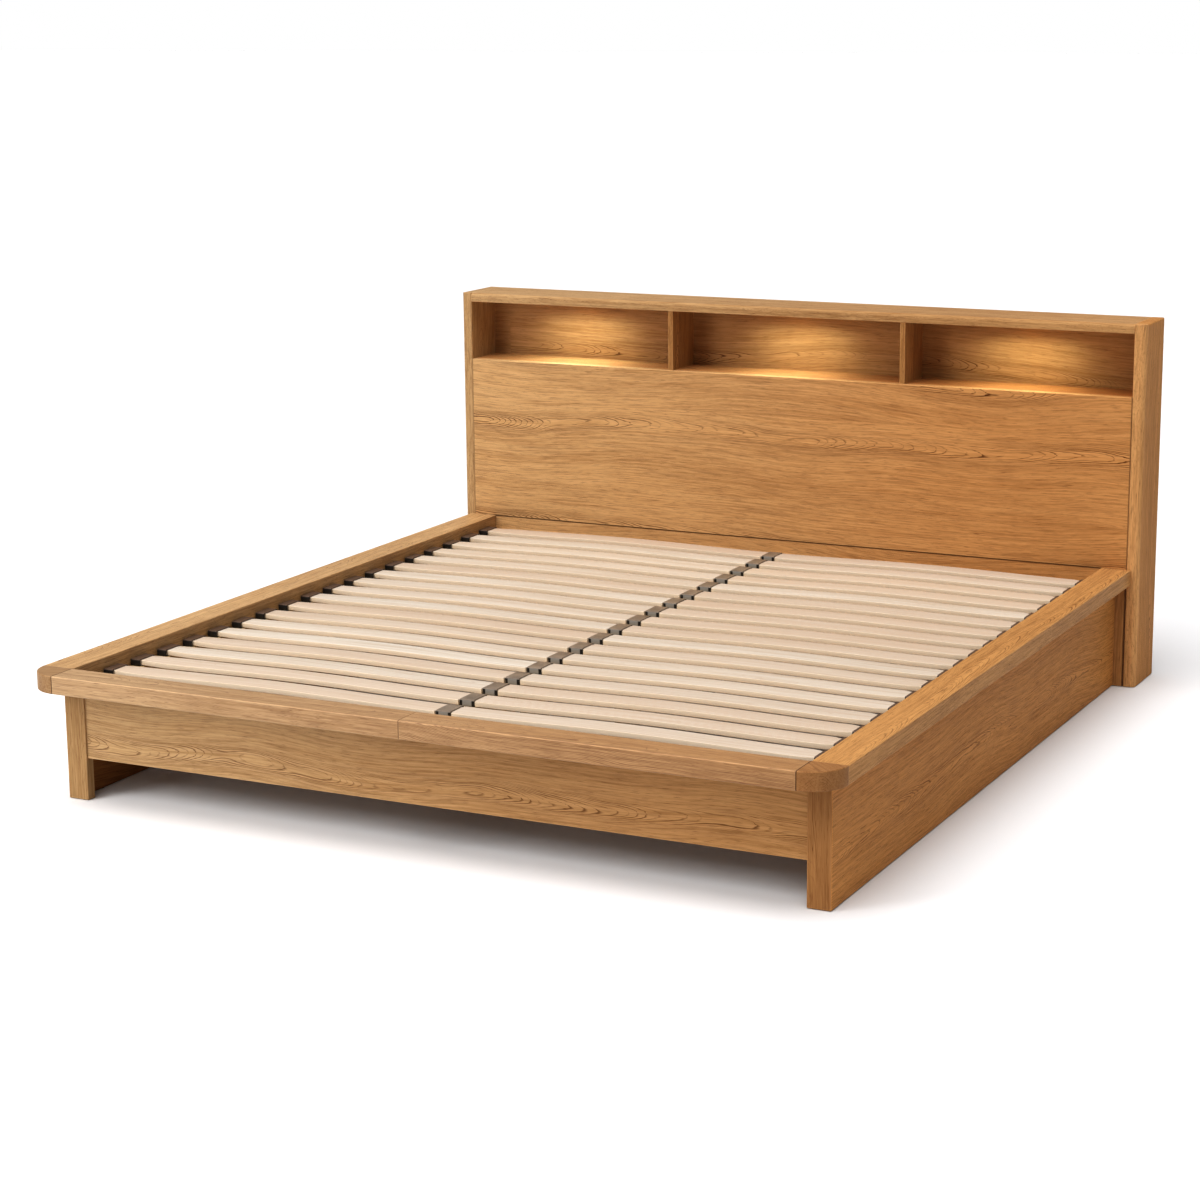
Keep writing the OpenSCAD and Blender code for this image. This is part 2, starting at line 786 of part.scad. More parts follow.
// Half of the foot rim, from the middle joint to the rim corner
module rim_foot(left) {
    c = joint_chamfer;
    on_side(left) color(oak) difference() {
        intersection() {
            translate([0, foot_y, bearing_z]) along_x(0, half_in)
                section(rim_w, rim_t, rim_round);
            linear_extrude(rim_top + 1) polygon([
                [0, foot_y + c], [c, foot_y], [half_in - c, foot_y], [half_in, foot_y + c],
                [half_in, rim_in_y], [0, rim_in_y]
            ]);
            along_y(foot_y - 1, rim_in_y + 1) polygon([
                [0, 0], [half_in, 0], [half_in, rim_top - c], [half_in - c, rim_top],
                [c, rim_top], [0, rim_top - c]
            ]);
        }
        rim_dowel_set(hole_clear);
        middle_dowel_set(hole_clear);
        plate_screw_set(hole_clear);
    }
}

// Quarter-round corner of the rim, centred on the recess's corner
module rim_corner(left) {
    on_side(left) color(oak_end) difference() {
        translate([half_in, rim_in_y, bearing_z]) rotate([0, 0, -90])
            rotate_extrude(angle = 90, $fn = 96)
                section(rim_w, rim_t, [0, rim_edge_r, rim_edge_r, 0]);
        rim_dowel_set(hole_clear);
    }
}

module rim_dowels() {
    color(inner_wood) {
        for (left = [true, false]) on_side(left) rim_dowel_set();
        middle_dowel_set();
    }
}

// Flat plates that reach from the foot rail out under the foot rims
module rim_plates() {
    color(steel) difference() {
        for (x = plate_xs)
            box([x - plate_w / 2, plate_y0, rail_top], [x + plate_w / 2, leg_back, bearing_z]);
        plate_screw_set(hole_clear);
    }
}

// ---------------------------------------------------------------- slatted base

// Bearer along the inside of a side board; the end holders' pegs stand in it
module slat_bearer(left) {
    on_side(left) color(inner_wood) difference() {
        box([bearer_in, leg_back, post_top], [panel_in, head_y, bearing_z]);
        holder_pegs(hole_clear);
        bearer_screw_set(hole_clear);
    }
}

module holder_pegs(grow = 0) {
    for (y = row_y)
        bar([holder_out - peg_inset, y + peg_shift, bearing_z - peg_l - grow],
            "z", peg_l + grow, peg_d + 2 * grow);
}

module cap_pegs(grow = 0) {
    for (y = row_y)
        bar([0, y + peg_shift, bearing_z - peg_l - grow],
            "z", peg_l + grow, peg_d + 2 * grow);
}

function holder_mouth(left) = holder_out - (left ? holder_l_left : holder_l_right);

// End holders: pockets that are open towards the middle of the bed
module slat_holders(left) {
    mouth = holder_mouth(left);
    on_side(left) color(dark_plastic) {
        for (y = row_y) difference() {
            box([mouth, y - holder_d / 2, bearing_z],
                [holder_out, y + holder_d / 2, bearing_z + holder_h]);
            box([mouth - 1, y - pocket_w / 2, slat_z],
                [holder_out - holder_wall, y + pocket_w / 2, slat_z + pocket_h]);
        }
        holder_pegs();
    }
}

// Double caps on the centre beam: a pocket to each side of a web
module slat_caps() {
    color(dark_plastic) {
        for (y = row_y) difference() {
            box([-cap_w / 2, y - holder_d / 2, bearing_z],
                [cap_w / 2, y + holder_d / 2, bearing_z + holder_h]);
            for (s = [-1, 1]) translate([s * (cap_web / 2 + cap_w / 2), 0, 0])
                box([-cap_w / 2, y - pocket_w / 2, slat_z],
                    [cap_w / 2, y + pocket_w / 2, slat_z + pocket_h]);
        }
        cap_pegs();
    }
}

// A slat's outline from above, with narrowed ends that run 1 mm on past the slat
module slat_plan(left) {
    a = slat_end_w / 2;
    b = slat_w / 2;
    x0 = cap_w / 2 + slat_shoulder;
    x1 = holder_mouth(left) - (left ? slat_taper_left : slat_taper_right);
    x2 = holder_mouth(left);
    half = [[slat_in - 1, a], [x0, a], [x0, b], [x1, b], [x2, a], [slat_out + 1, a]];
    polygon([for (p = half) p, for (i = [5 : -1 : 0]) [half[i].x, -half[i].y]]);
}

// Slats of one side, straight in their pockets and curved up in between
module slats(left) {
    x0 = cap_w / 2;
    x1 = holder_mouth(left);
    n = 24;
    bend = [for (i = [0 : n]) [x0 + i * (x1 - x0) / n, slat_crown * pow(sin(180 * i / n), 2)]];
    on_side(left) color(slat_wood) for (y = row_y) translate([0, y, slat_z]) intersection() {
        along_y(-slat_w, slat_w) polygon([
            [slat_in, 0], for (p = bend) p, [slat_out, 0],
            [slat_out, slat_t], for (i = [n : -1 : 0]) bend[i] + [0, slat_t], [slat_in, slat_t]
        ]);
        translate([0, 0, -1]) linear_extrude(slat_t + slat_crown + 2) slat_plan(left);
    }
}

// ---------------------------------------------------------------- centre beam and legs

module centre_beam() {
    color(inner_wood) difference() {
        box([-beam_w / 2, beam_y0, beam_z], [beam_w / 2, beam_y1, bearing_z]);
        cap_pegs(hole_clear);
        leg_screw_set(hole_clear);
        for (y = leg_ys, s = [-1, 1])
            translate([s * 0.3 * centre_leg_side, y, bearing_z - screw_head_h])
                cylinder(h = screw_head_h + 1, d = 2 * (slim_screw_d + hole_clear));
    }
}

// Steel stirrups that carry the beam's two ends
module beam_hangers() {
    flange = beam_w / 2 + bracket_t + hanger_ear;
    color(steel) difference() {
        for (end = [0, 1]) {
            y = end == 0 ? leg_back : head_y - bracket_t;
            ya = end == 0 ? beam_y0 : beam_y1 - hanger_arm;
            yb = ya + hanger_arm;
            box([-flange, y, beam_z - bracket_t], [flange, y + bracket_t, hanger_top]);
            box([-beam_w / 2 - bracket_t, ya, beam_z - bracket_t],
                [beam_w / 2 + bracket_t, yb, beam_z]);
            for (s = [-1, 1]) translate([s * (beam_w / 2 + bracket_t / 2), 0, 0])
                box([-bracket_t / 2, ya, beam_z], [bracket_t / 2, yb, hanger_top]);
        }
        hanger_screw_set(hole_clear);
    }
}

// One centre leg, bored for its insert and stud
module centre_leg(i) {
    y = leg_ys[i - 1];
    half = centre_leg_side / 2;
    color(inner_wood) difference() {
        box([-half, y - half, leg_z], [half, y + half, beam_z]);
        translate([0, y, leg_z - 1])
            cylinder(h = insert_l + 1, d = stud_d + 2 * (stud_clear + insert_wall + hole_clear));
        translate([0, y, leg_z - 1])
            cylinder(h = stud_l + stud_room, d = stud_d + 1);
        leg_screw_set(hole_clear);
    }
}

module level_inserts() {
    color("#c9a54a") for (y = leg_ys) translate([0, y, leg_z]) difference() {
        cylinder(h = insert_l, d = stud_d + 2 * (stud_clear + insert_wall));
        translate([0, 0, -1]) cylinder(h = insert_l + 2, d = stud_d + 2 * stud_clear);
    }
}

// Levelling foot: a pad with a hub and a stud that screws up into the leg
module level_foot(i) {
    r = level_d / 2;
    hub = stud_d / 2 + 5;
    color(dark_plastic) translate([0, leg_ys[i - 1], 0]) rotate_extrude()
        polygon([
            [0, 0], [r - 1, 0], [r, 1], [r, level_h * 0.5], [r - 2, level_h * 0.62],
            [hub, level_h * 0.8], [hub, level_h], [stud_d / 2, level_h],
            [stud_d / 2, level_h + stud_l - 1], [stud_d / 2 - 1, level_h + stud_l],
            [0, level_h + stud_l]
        ]);
}

// ---------------------------------------------------------------- hardware

// Angle brackets that tie the bed box to the headboard
module corner_brackets() {
    color(steel) for (left = [true, false]) on_side(left) difference() {
        union() {
            box([panel_in - bracket_t, head_y - bracket_wing, bracket_z],
                [panel_in, head_y, bracket_z + bracket_h]);
            box([panel_in - bracket_wing, head_y - bracket_t, bracket_z],
                [panel_in, head_y, bracket_z + bracket_h]);
        }
        bracket_bolt_set(hole_clear);
    }
}

module screws() {
    color(steel) {
        for (left = [true, false]) on_side(left) {
            post_bolt_set();
            bearer_screw_set();
            bracket_bolt_set();
            head_post_screw_set();
        }
        plate_screw_set();
        hanger_screw_set();
        leg_screw_set();
        back_screw_set();
    }
}

// Pads under the side boards, leg boards, front posts and headboard sides
module felt_pads() {
    board_x = (panel_in + panel_out) / 2;
    side_x = head_in + head_side_t / 2;
    spots = [
        [board_x, leg_y + 100], [board_x, (leg_y + head_y) / 2], [board_x, head_y - 100],
        [(leg_in + panel_in) / 2, (leg_y + leg_back) / 2],
        [head_in - head_post_w / 2, head_y + head_post_t / 2],
        [side_x, head_y + 30], [side_x, rear_y - 30]
    ];
    color(felt) for (left = [true, false]) on_side(left)
        for (p = spots) translate(p) cylinder(h = felt_t, d = felt_d);
}

headboard_side(true);  // headboard_side_left
headboard_side(false);  // headboard_side_right
headboard_top();
niche_shelf();
niche_divider(true);  // niche_divider_left
niche_divider(false);  // niche_divider_right
headboard_front_panel();
head_rail();
headboard_back_panel();
headboard_post(true);  // headboard_post_left
headboard_post(false);  // headboard_post_right
headboard_stiffener();
headboard_stretcher();
headboard_dowels();
light_bodies();
light_diffusers();
light_boards();
light_driver();
light_wires();
wire_clips();
side_board(true);  // side_board_left
side_board(false);  // side_board_right
leg_board(true);  // leg_board_left
leg_board(false);  // leg_board_right
foot_rail();
rim_side(true);  // rim_side_left
rim_side(false);  // rim_side_right
rim_foot(true);  // rim_foot_left
rim_foot(false);  // rim_foot_right
rim_corner(true);  // rim_corner_left
rim_corner(false);  // rim_corner_right
rim_dowels();
rim_plates();
corner_post(true);  // corner_post_left
corner_post(false);  // corner_post_right
slat_bearer(true);  // slat_bearer_left
slat_bearer(false);  // slat_bearer_right
centre_beam();
beam_hangers();
centre_leg(1);  // centre_leg_1
centre_leg(2);  // centre_leg_2
centre_leg(3);  // centre_leg_3
level_foot(1);  // level_foot_1
level_foot(2);  // level_foot_2
level_foot(3);  // level_foot_3
level_inserts();
slats(true);  // slats_left
slats(false);  // slats_right
slat_holders(true);  // slat_holders_left
slat_holders(false);  // slat_holders_right
slat_caps();
corner_brackets();
screws();
felt_pads();
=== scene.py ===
from math import cos, pi, radians, sin

import bmesh
import bpy
from mathutils import Matrix, Vector


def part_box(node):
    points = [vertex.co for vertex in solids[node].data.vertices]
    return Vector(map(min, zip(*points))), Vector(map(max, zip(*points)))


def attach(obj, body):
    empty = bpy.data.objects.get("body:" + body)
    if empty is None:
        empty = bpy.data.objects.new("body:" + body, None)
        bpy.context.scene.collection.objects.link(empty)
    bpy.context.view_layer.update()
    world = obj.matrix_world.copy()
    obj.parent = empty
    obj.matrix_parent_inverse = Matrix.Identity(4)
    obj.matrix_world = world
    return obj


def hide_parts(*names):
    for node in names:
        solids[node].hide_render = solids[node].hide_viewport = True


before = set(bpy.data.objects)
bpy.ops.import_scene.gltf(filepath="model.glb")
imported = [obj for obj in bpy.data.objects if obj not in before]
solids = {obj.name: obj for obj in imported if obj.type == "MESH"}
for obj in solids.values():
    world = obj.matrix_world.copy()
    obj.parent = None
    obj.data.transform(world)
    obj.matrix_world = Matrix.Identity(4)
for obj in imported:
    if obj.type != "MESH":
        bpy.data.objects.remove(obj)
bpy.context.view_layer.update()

# ------------------------------------------------------------------------------ studio
# A seamless white floor in a white room, under a large soft lamp high in front and a smaller
# one to the front left. The camera looks slightly down on the foot's right corner. A thin cloth
# under the slats, unseen itself, keeps most of the light between them off the floor.
scene = bpy.context.scene
scene.view_settings.view_transform = "Standard"
scene.view_settings.gamma = 0.8
STAND = Vector((2.8809, -5.9260, 1.8310))
TURN, TILT, ROLL = radians(26.603), radians(12.719), radians(-0.534)
back = Vector((sin(TURN) * cos(TILT), -cos(TURN) * cos(TILT), sin(TILT)))
level = Vector((cos(TURN), sin(TURN), 0))
upright = back.cross(level)
right = level * cos(ROLL) + upright * sin(ROLL)
up = upright * cos(ROLL) - level * sin(ROLL)
camera = bpy.data.objects.new("camera", bpy.data.cameras.new("camera"))
camera.data.sensor_width = 36
camera.data.lens = 82.27
camera.data.clip_end = 400
camera.matrix_world = (
    Matrix.Translation(STAND) @ Matrix((right, up, back)).transposed().to_4x4())
scene.collection.objects.link(camera)
scene.camera = camera


def feed(tree, inputs, feeds):
    """Sets a node's inputs to values, or links them to other nodes' sockets."""
    for name, value in feeds.items():
        if isinstance(value, bpy.types.NodeSocket):
            tree.links.new(value, inputs[name])
        else:
            inputs[name].default_value = value


def put(tree, kind, feeds=None, **settings):
    """Adds a node of a kind to a tree, with its settings and what feeds its inputs."""
    made = tree.nodes.new(kind)
    for name, value in settings.items():
        setattr(made, name, value)
    feed(tree, made.inputs, feeds or {})
    return made


def calc(tree, operation, *terms, clamp=False):
    """One arithmetic step, as the socket that carries its result."""
    return put(tree, "ShaderNodeMath", dict(enumerate(terms)),
               operation=operation, use_clamp=clamp).outputs[0]


def split(tree, place):
    """The three numbers of a vector."""
    return put(tree, "ShaderNodeSeparateXYZ", {0: place}).outputs


def tint(red, green, blue):
    """A paint-chart colour, 0 to 255 a channel, as the linear colour that a shader takes."""
    channels = (c / 255 for c in (red, green, blue))
    return (*(c / 12.92 if c < 0.04 else ((c + 0.055) / 1.055) ** 2.4 for c in channels), 1)


def level_sheet(name, low, high, z, finish):
    """A level rectangle between two corners, facing up."""
    mesh = bpy.data.meshes.new(name)
    mesh.from_pydata([(low[0], low[1], z), (high[0], low[1], z), (high[0], high[1], z),
                      (low[0], high[1], z)], [], [(0, 1, 2, 3)])
    mesh.materials.append(finish)
    sheet = bpy.data.objects.new(name, mesh)
    scene.collection.objects.link(sheet)
    return sheet


def hang_lamp(name, kind, power, place=(0, 0, 0), source=None, **settings):
    """A lamp that shines straight down, or from the direction of its source if one is given."""
    lamp = bpy.data.objects.new(name, bpy.data.lights.new(name, kind))
    lamp.data.energy = power
    lamp.location = place
    for setting, value in settings.items():
        setattr(lamp.data, setting, value)
    if source is not None:
        lamp.rotation_mode = "QUATERNION"
        lamp.rotation_quaternion = source.to_track_quat("Z", "Y")
    scene.collection.objects.link(lamp)


paper = bpy.data.materials.new("white_paper")
paper.use_nodes = True
feed(paper.node_tree, paper.node_tree.nodes["Principled BSDF"].inputs, {
    "Base Color": (0.79, 0.79, 0.80, 1), "Roughness": 1, "Specular IOR Level": 0})
studio_floor = level_sheet("studio_floor", (-60, -60), (60, 60), 0, paper)

room = bpy.data.worlds.new("white_room")
room.use_nodes = True
scene.world = room
tree = room.node_tree
tree.nodes.clear()
seen = put(tree, "ShaderNodeLightPath").outputs["Is Camera Ray"]
x, y, z = split(tree, put(tree, "ShaderNodeTexCoord").outputs["Generated"])
glow = calc(tree, "MULTIPLY_ADD", z, 0.65, 0.10)
glow = calc(tree, "MULTIPLY_ADD", x, -0.06, glow)
glow = calc(tree, "MULTIPLY_ADD", y, 0.25, glow, clamp=True)
dim_walls = put(tree, "ShaderNodeBackground", {"Strength": glow})
bright_walls = put(tree, "ShaderNodeBackground", {"Color": (1, 1, 1, 1), "Strength": 1.0})
walls = put(tree, "ShaderNodeMixShader", {
    0: seen, 1: dim_walls.outputs[0], 2: bright_walls.outputs[0]})
put(tree, "ShaderNodeOutputWorld", {"Surface": walls.outputs[0]})

KEY_SIDE, KEY_HEIGHT = radians(-4), radians(70)
KEY_SOURCE = Vector((
    sin(KEY_SIDE) * cos(KEY_HEIGHT), -cos(KEY_SIDE) * cos(KEY_HEIGHT), sin(KEY_HEIGHT)))
hang_lamp("key_lamp", "SUN", 3.2, source=KEY_SOURCE, angle=radians(56))
FRONT_LAMP, LAMP_AIM = Vector((-2.6, -4.3, 2.2)), Vector((-0.5, -1.0, 0.3))
hang_lamp("front_lamp", "AREA", 98, FRONT_LAMP, FRONT_LAMP - LAMP_AIM, size=1.8)

cloth = bpy.data.materials.new("flag_cloth")
cloth.use_nodes = True
tree = cloth.node_tree
tree.nodes.clear()
tan_top = put(tree, "ShaderNodeBsdfDiffuse", {"Color": (0.82, 0.60, 0.38, 1)})
brown_back = put(tree, "ShaderNodeBsdfDiffuse", {"Color": (0.30, 0.16, 0.08, 1)})
two_faced = put(tree, "ShaderNodeMixShader", {
    0: put(tree, "ShaderNodeNewGeometry").outputs["Backfacing"],
    1: tan_top.outputs[0], 2: brown_back.outputs[0]})
thin = put(tree, "ShaderNodeMixShader", {
    0: 0.12, 1: two_faced.outputs[0], 2: put(tree, "ShaderNodeBsdfTransparent").outputs[0]})
put(tree, "ShaderNodeOutputMaterial", {"Surface": thin.outputs[0]})
studio_flag = level_sheet("studio_flag", (-0.86, -0.94), (0.86, 0.95), 0.21, cloth)
studio_flag.visible_camera = False
studio_flag.visible_glossy = False

# ------------------------------------------------------------------------------ side boards
# Two full-length oak-veneered boards stand on the floor and carry the bed along its sides.
# Oiled satin oak: each leaf of veneer has its own arches of dark growth rings along the middle,
# straight fine lines beside them, short open pores and a slightly different tone.
ARCH = 22.0  # how fast the rings bend away from the heart, per metre


def ramp(tree, value, low, high, at_low=0.0, at_high=1.0):
    """A smooth step from one level to another while value goes from low to high."""
    return put(tree, "ShaderNodeMapRange", {0: value, 1: low, 2: high, 3: at_low, 4: at_high},
               interpolation_type="SMOOTHSTEP").outputs[0]


def vector(tree, x=0.0, y=0.0, z=0.0):
    """Three numbers as one vector."""
    return put(tree, "ShaderNodeCombineXYZ", {0: x, 1: y, 2: z}).outputs[0]


def cloud(tree, place, stretch, detail=2.0, coarse=0.5):
    """Soft noise, with its own number of patches to the metre along, across and through."""
    at = put(tree, "ShaderNodeVectorMath", {0: place, 1: stretch}, operation="MULTIPLY")
    return put(tree, "ShaderNodeTexNoise", {
        "Vector": at.outputs[0], "Scale": 1.0, "Detail": detail, "Roughness": coarse}).outputs[0]


def chance(tree, number):
    """A random value from 0 to 1 that stays the same for the same number."""
    return put(tree, "ShaderNodeTexWhiteNoise", {"W": number}, noise_dimensions="1D").outputs[0]


def toned(colour, share, lift=0.0):
    """A colour made paler or darker."""
    return (*(min(1, c * share + lift) for c in colour[:3]), 1)


def blend(tree, amount, first, second, mode="MIX"):
    """Two colours mixed by an amount."""
    return put(tree, "ShaderNodeMix", {0: amount, 6: first, 7: second},
               data_type="RGBA", blend_type=mode).outputs[2]


def relief(tree, height, strength, depth):
    """A small relief of the surface, up to a depth in metres, as its normal."""
    return put(tree, "ShaderNodeBump", {
        "Strength": strength, "Distance": depth, "Height": height}).outputs[0]


def new_finish(name):
    """A new material, with its tree, its shader's inputs and the place on the piece."""
    finish = bpy.data.materials.new(name)
    finish.use_nodes = True
    tree = finish.node_tree
    place = put(tree, "ShaderNodeTexCoord").outputs["Object"]
    return finish, tree, tree.nodes["Principled BSDF"].inputs, place


def new_group(name, kind, inputs, outputs):
    """An empty node group; each input is given its first value, or only its kind."""
    tree = bpy.data.node_groups.new(name, kind)
    for label, value in inputs.items():
        if isinstance(value, str):
            socket = value
        elif isinstance(value, tuple):
            socket = "Color" if len(value) == 4 else "Vector"
        else:
            socket = "Int" if isinstance(value, int) else "Float"
        made = tree.interface.new_socket(label, in_out="INPUT", socket_type="NodeSocket" + socket)
        if value != socket:
            made.default_value = value
    for label, socket in outputs.items():
        tree.interface.new_socket(label, in_out="OUTPUT", socket_type="NodeSocket" + socket)
    return tree, tree.nodes.new("NodeGroupInput").outputs, tree.nodes.new("NodeGroupOutput").inputs


def wood_figure():
    """Flat-sawn wood. Place runs along the grain in X, over the face in Y and into it in Z."""
    tree, given, result = new_group("wood_figure", "ShaderNodeTree", {
        "Place": "Vector", "Light": (0.6, 0.4, 0.2, 1), "Deep": (0.4, 0.2, 0.1, 1),
        "Line": (0.2, 0.08, 0.03, 1), "Ring": 0.0026, "Taper": 0.055, "Wander": 0.05,
        "Line Width": 0.0032, "Figure": 0.5, "Pores": 0.5, "Flecks": 0.5, "Fleck Count": 12.0,
        "Stave Width": 0.13, "Stave Length": 9.0, "Stave Change": 0.05,
    }, {"Color": "Color", "Roughness": "Float", "Height": "Float"})
    along, across, deep = split(tree, given["Place"])
    width, length = given["Stave Width"], given["Stave Length"]

    # Leaves of veneer or glued staves, each cut from another part of the log
    row = calc(tree, "FLOOR", calc(tree, "ADD", calc(tree, "DIVIDE", across, width), 0.5))
    over = calc(tree, "SUBTRACT", across, calc(tree, "MULTIPLY", row, width))
    slid = calc(tree, "MULTIPLY_ADD", chance(tree, row), 17.0, along)
    column = calc(tree, "FLOOR", calc(tree, "DIVIDE", slid, length))
    to_end = calc(tree, "SUBTRACT", slid, calc(tree, "MULTIPLY", column, length))
    luck = split(tree, put(tree, "ShaderNodeTexWhiteNoise", {
        "Vector": vector(tree, row, column)}, noise_dimensions="2D").outputs["Color"])
    run = calc(tree, "MULTIPLY_ADD", luck[0], 31.0, slid)

    # Growth rings: arches that close about the heart of the leaf and run straight beside it
    sway = cloud(tree, vector(tree, run, calc(tree, "MULTIPLY", row, 7.3)), (1.1, 1.0, 1.0), 1.0)
    heart = calc(tree, "ADD", calc(tree, "MULTIPLY_ADD", sway, 0.5, -0.25),
                 calc(tree, "MULTIPLY_ADD", luck[1], 0.5, -0.25))
    off = calc(tree, "SUBTRACT", over, calc(tree, "MULTIPLY", heart, width))
    grain = vector(tree, run, off, deep)
    rise = calc(tree, "MULTIPLY", calc(tree, "MULTIPLY", off, off), ARCH)
    rise = calc(tree, "MULTIPLY_ADD", run, given["Taper"], rise)
    swell = calc(tree, "SUBTRACT", cloud(tree, grain, (2.6, 7.0, 7.0), 2.0), 0.5)
    rise = calc(tree, "ADD", rise, calc(tree, "MULTIPLY", swell, given["Wander"]))
    rise = calc(tree, "MULTIPLY_ADD", deep, 0.8, rise)
    ragged = cloud(tree, grain, (30.0, 300.0, 300.0), 2.0)
    rings = calc(tree, "MULTIPLY_ADD", ragged, 0.55, calc(tree, "DIVIDE", rise, given["Ring"]))
    phase = calc(tree, "FRACT", rings)
    slope = calc(tree, "SQRT", calc(
        tree, "ADD", calc(tree, "MULTIPLY", given["Taper"], given["Taper"]),
        calc(tree, "POWER", calc(tree, "MULTIPLY", off, 2 * ARCH), 2.0)))
    thin = calc(tree, "DIVIDE", calc(tree, "MULTIPLY", slope, given["Line Width"]), given["Ring"])
    thin = calc(tree, "MINIMUM", thin, 0.7)
    onset = calc(tree, "MULTIPLY", thin, 0.3)
    late = calc(tree, "MULTIPLY", ramp(tree, phase, 0.0, onset),
                ramp(tree, phase, onset, thin, 1.0, 0.0))
    ring_luck = chance(tree, calc(tree, "FLOOR", rings))
    bold = calc(tree, "MULTIPLY", late, ramp(tree, ring_luck, 0.0, 1.0, 0.35, 1.0))
    patch = ramp(tree, cloud(tree, grain, (1.7, 10.0, 10.0), 1.0), 0.36, 0.56, 0.3, 1.0)
    near = ramp(tree, calc(tree, "ABSOLUTE", off), 0.010, 0.045, 1.0, 0.35)
    lines = calc(tree, "MULTIPLY", calc(tree, "MULTIPLY", bold, near),
                 calc(tree, "MULTIPLY", patch, given["Figure"]), clamp=True)

    # Tone: fine fibres, streaks and broad bands; then ray flecks and open pores
    fibre = cloud(tree, grain, (3.0, 260.0, 260.0), 3.0, 0.65)
    streak = cloud(tree, grain, (0.8, 40.0, 40.0), 3.0, 0.6)
    broad = cloud(tree, grain, (0.9, 3.4, 3.4), 1.0)
    mood = calc(tree, "MULTIPLY_ADD", ramp(tree, broad, 0.3, 0.7), 0.26,
                calc(tree, "MULTIPLY_ADD", ramp(tree, streak, 0.3, 0.7), 0.24,
                     calc(tree, "MULTIPLY", ramp(tree, fibre, 0.32, 0.68), 0.48)))
    stretched = vector(tree, calc(tree, "MULTIPLY", run, given["Fleck Count"]),
                       calc(tree, "MULTIPLY", off, 230.0), calc(tree, "MULTIPLY", deep, 230.0))
    fleck = cloud(tree, stretched, (1.0, 1.0, 1.0), 2.0, 0.55)
    pore = ramp(tree, cloud(tree, grain, (30.0, 1150.0, 1150.0), 1.0), 0.58, 0.72)
    pore = calc(tree, "MULTIPLY", pore, calc(tree, "MULTIPLY_ADD", late, 0.7, 0.35))

    # Seams between neighbouring leaves, where they have any
    edge = calc(tree, "SUBTRACT", calc(tree, "MULTIPLY", width, 0.5),
                calc(tree, "ABSOLUTE", over))
    seam = calc(tree, "MAXIMUM", ramp(tree, edge, 0.0003, 0.0011, 1.0, 0.0),
                ramp(tree, to_end, 0.0003, 0.0011, 1.0, 0.0))
    dark_fleck = calc(tree, "MULTIPLY", given["Flecks"], 0.28)
    pale_fleck = calc(tree, "MULTIPLY", given["Flecks"], 0.7)
    shade = blend(tree, mood, given["Light"], given["Deep"])
    for there, strength, colour in (
            (ramp(tree, fleck, 0.50, 0.66), dark_fleck, given["Line"]),
            (ramp(tree, fleck, 0.34, 0.48, 1.0, 0.0), pale_fleck, given["Light"]),
            (lines, 1.0, given["Line"]),
            (pore, given["Pores"], given["Line"]),
            (seam, given["Stave Change"], given["Line"])):
        shade = blend(tree, calc(tree, "MULTIPLY", there, strength), shade, colour)
    tone = calc(tree, "MULTIPLY_ADD", calc(tree, "SUBTRACT", luck[2], 0.5),
                given["Stave Change"], 1.0)
    shade = blend(tree, 1.0, shade, vector(tree, tone, tone, tone), "MULTIPLY")
    rough = calc(tree, "MULTIPLY_ADD", pore, 0.2, calc(tree, "MULTIPLY_ADD", fibre, 0.16, 0.36))
    hollow = calc(tree, "MULTIPLY_ADD", pore, -0.8, calc(tree, "MULTIPLY", fibre, 0.5))
    hollow = calc(tree, "MULTIPLY_ADD", fleck, -0.5, hollow)
    hollow = calc(tree, "MULTIPLY_ADD", lines, -0.25, hollow)
    feed(tree, result, {"Color": shade, "Roughness": rough, "Height": hollow})
    return tree


def rubbed_and_lit_edges():
    """A mask along a board's edges for rubbed wear and a painted highlight, and the dark line where
    it meets another.
    """
    tree, given, result = new_group("rubbed_and_lit_edges", "ShaderNodeTree", {
        "Place": "Vector", "Middle": (0, 0, 0), "Half": (1, 1, 1), "Width": 0.003,
        "Joint Side": (0, 0, 0), "Joint Along": (1, 0, 0), "Joint Width": 0.0015,
    }, {"Mask": "Float", "Joint": "Float"})

    def measure(operation, first, second=(0, 0, 0), output=0):
        """One arithmetic step on vectors."""
        return put(tree, "ShaderNodeVectorMath", {0: first, 1: second},
                   operation=operation).outputs[output]

    from_middle = measure("SUBTRACT", given["Place"], given["Middle"])
    inside = measure("SUBTRACT", given["Half"], measure("ABSOLUTE", from_middle))
    x, y, z = split(tree, inside)
    nearest = calc(tree, "MAXIMUM", calc(tree, "MINIMUM", x, y),
                   calc(tree, "MINIMUM", calc(tree, "MAXIMUM", x, y), z))
    patchy = cloud(tree, given["Place"], (60.0, 60.0, 60.0), 3.0)
    reach = calc(tree, "MULTIPLY", given["Width"], calc(tree, "MULTIPLY_ADD", patchy, 1.6, 0.2))
    mask = ramp(tree, calc(tree, "DIVIDE", nearest, reach), 0.3, 1.0, 1.0, 0.0)
    to_joint = measure("DOT_PRODUCT", inside, given["Joint Along"], "Value")
    joint = ramp(tree, calc(tree, "DIVIDE", to_joint, given["Joint Width"]), 0.5, 1.0, 1.0, 0.0)
    there = measure("DOT_PRODUCT", from_middle, given["Joint Side"], "Value")
    joint = calc(tree, "MULTIPLY", joint, ramp(tree, there, -0.002, -0.001))
    feed(tree, result, {"Mask": mask, "Joint": joint})
    return tree


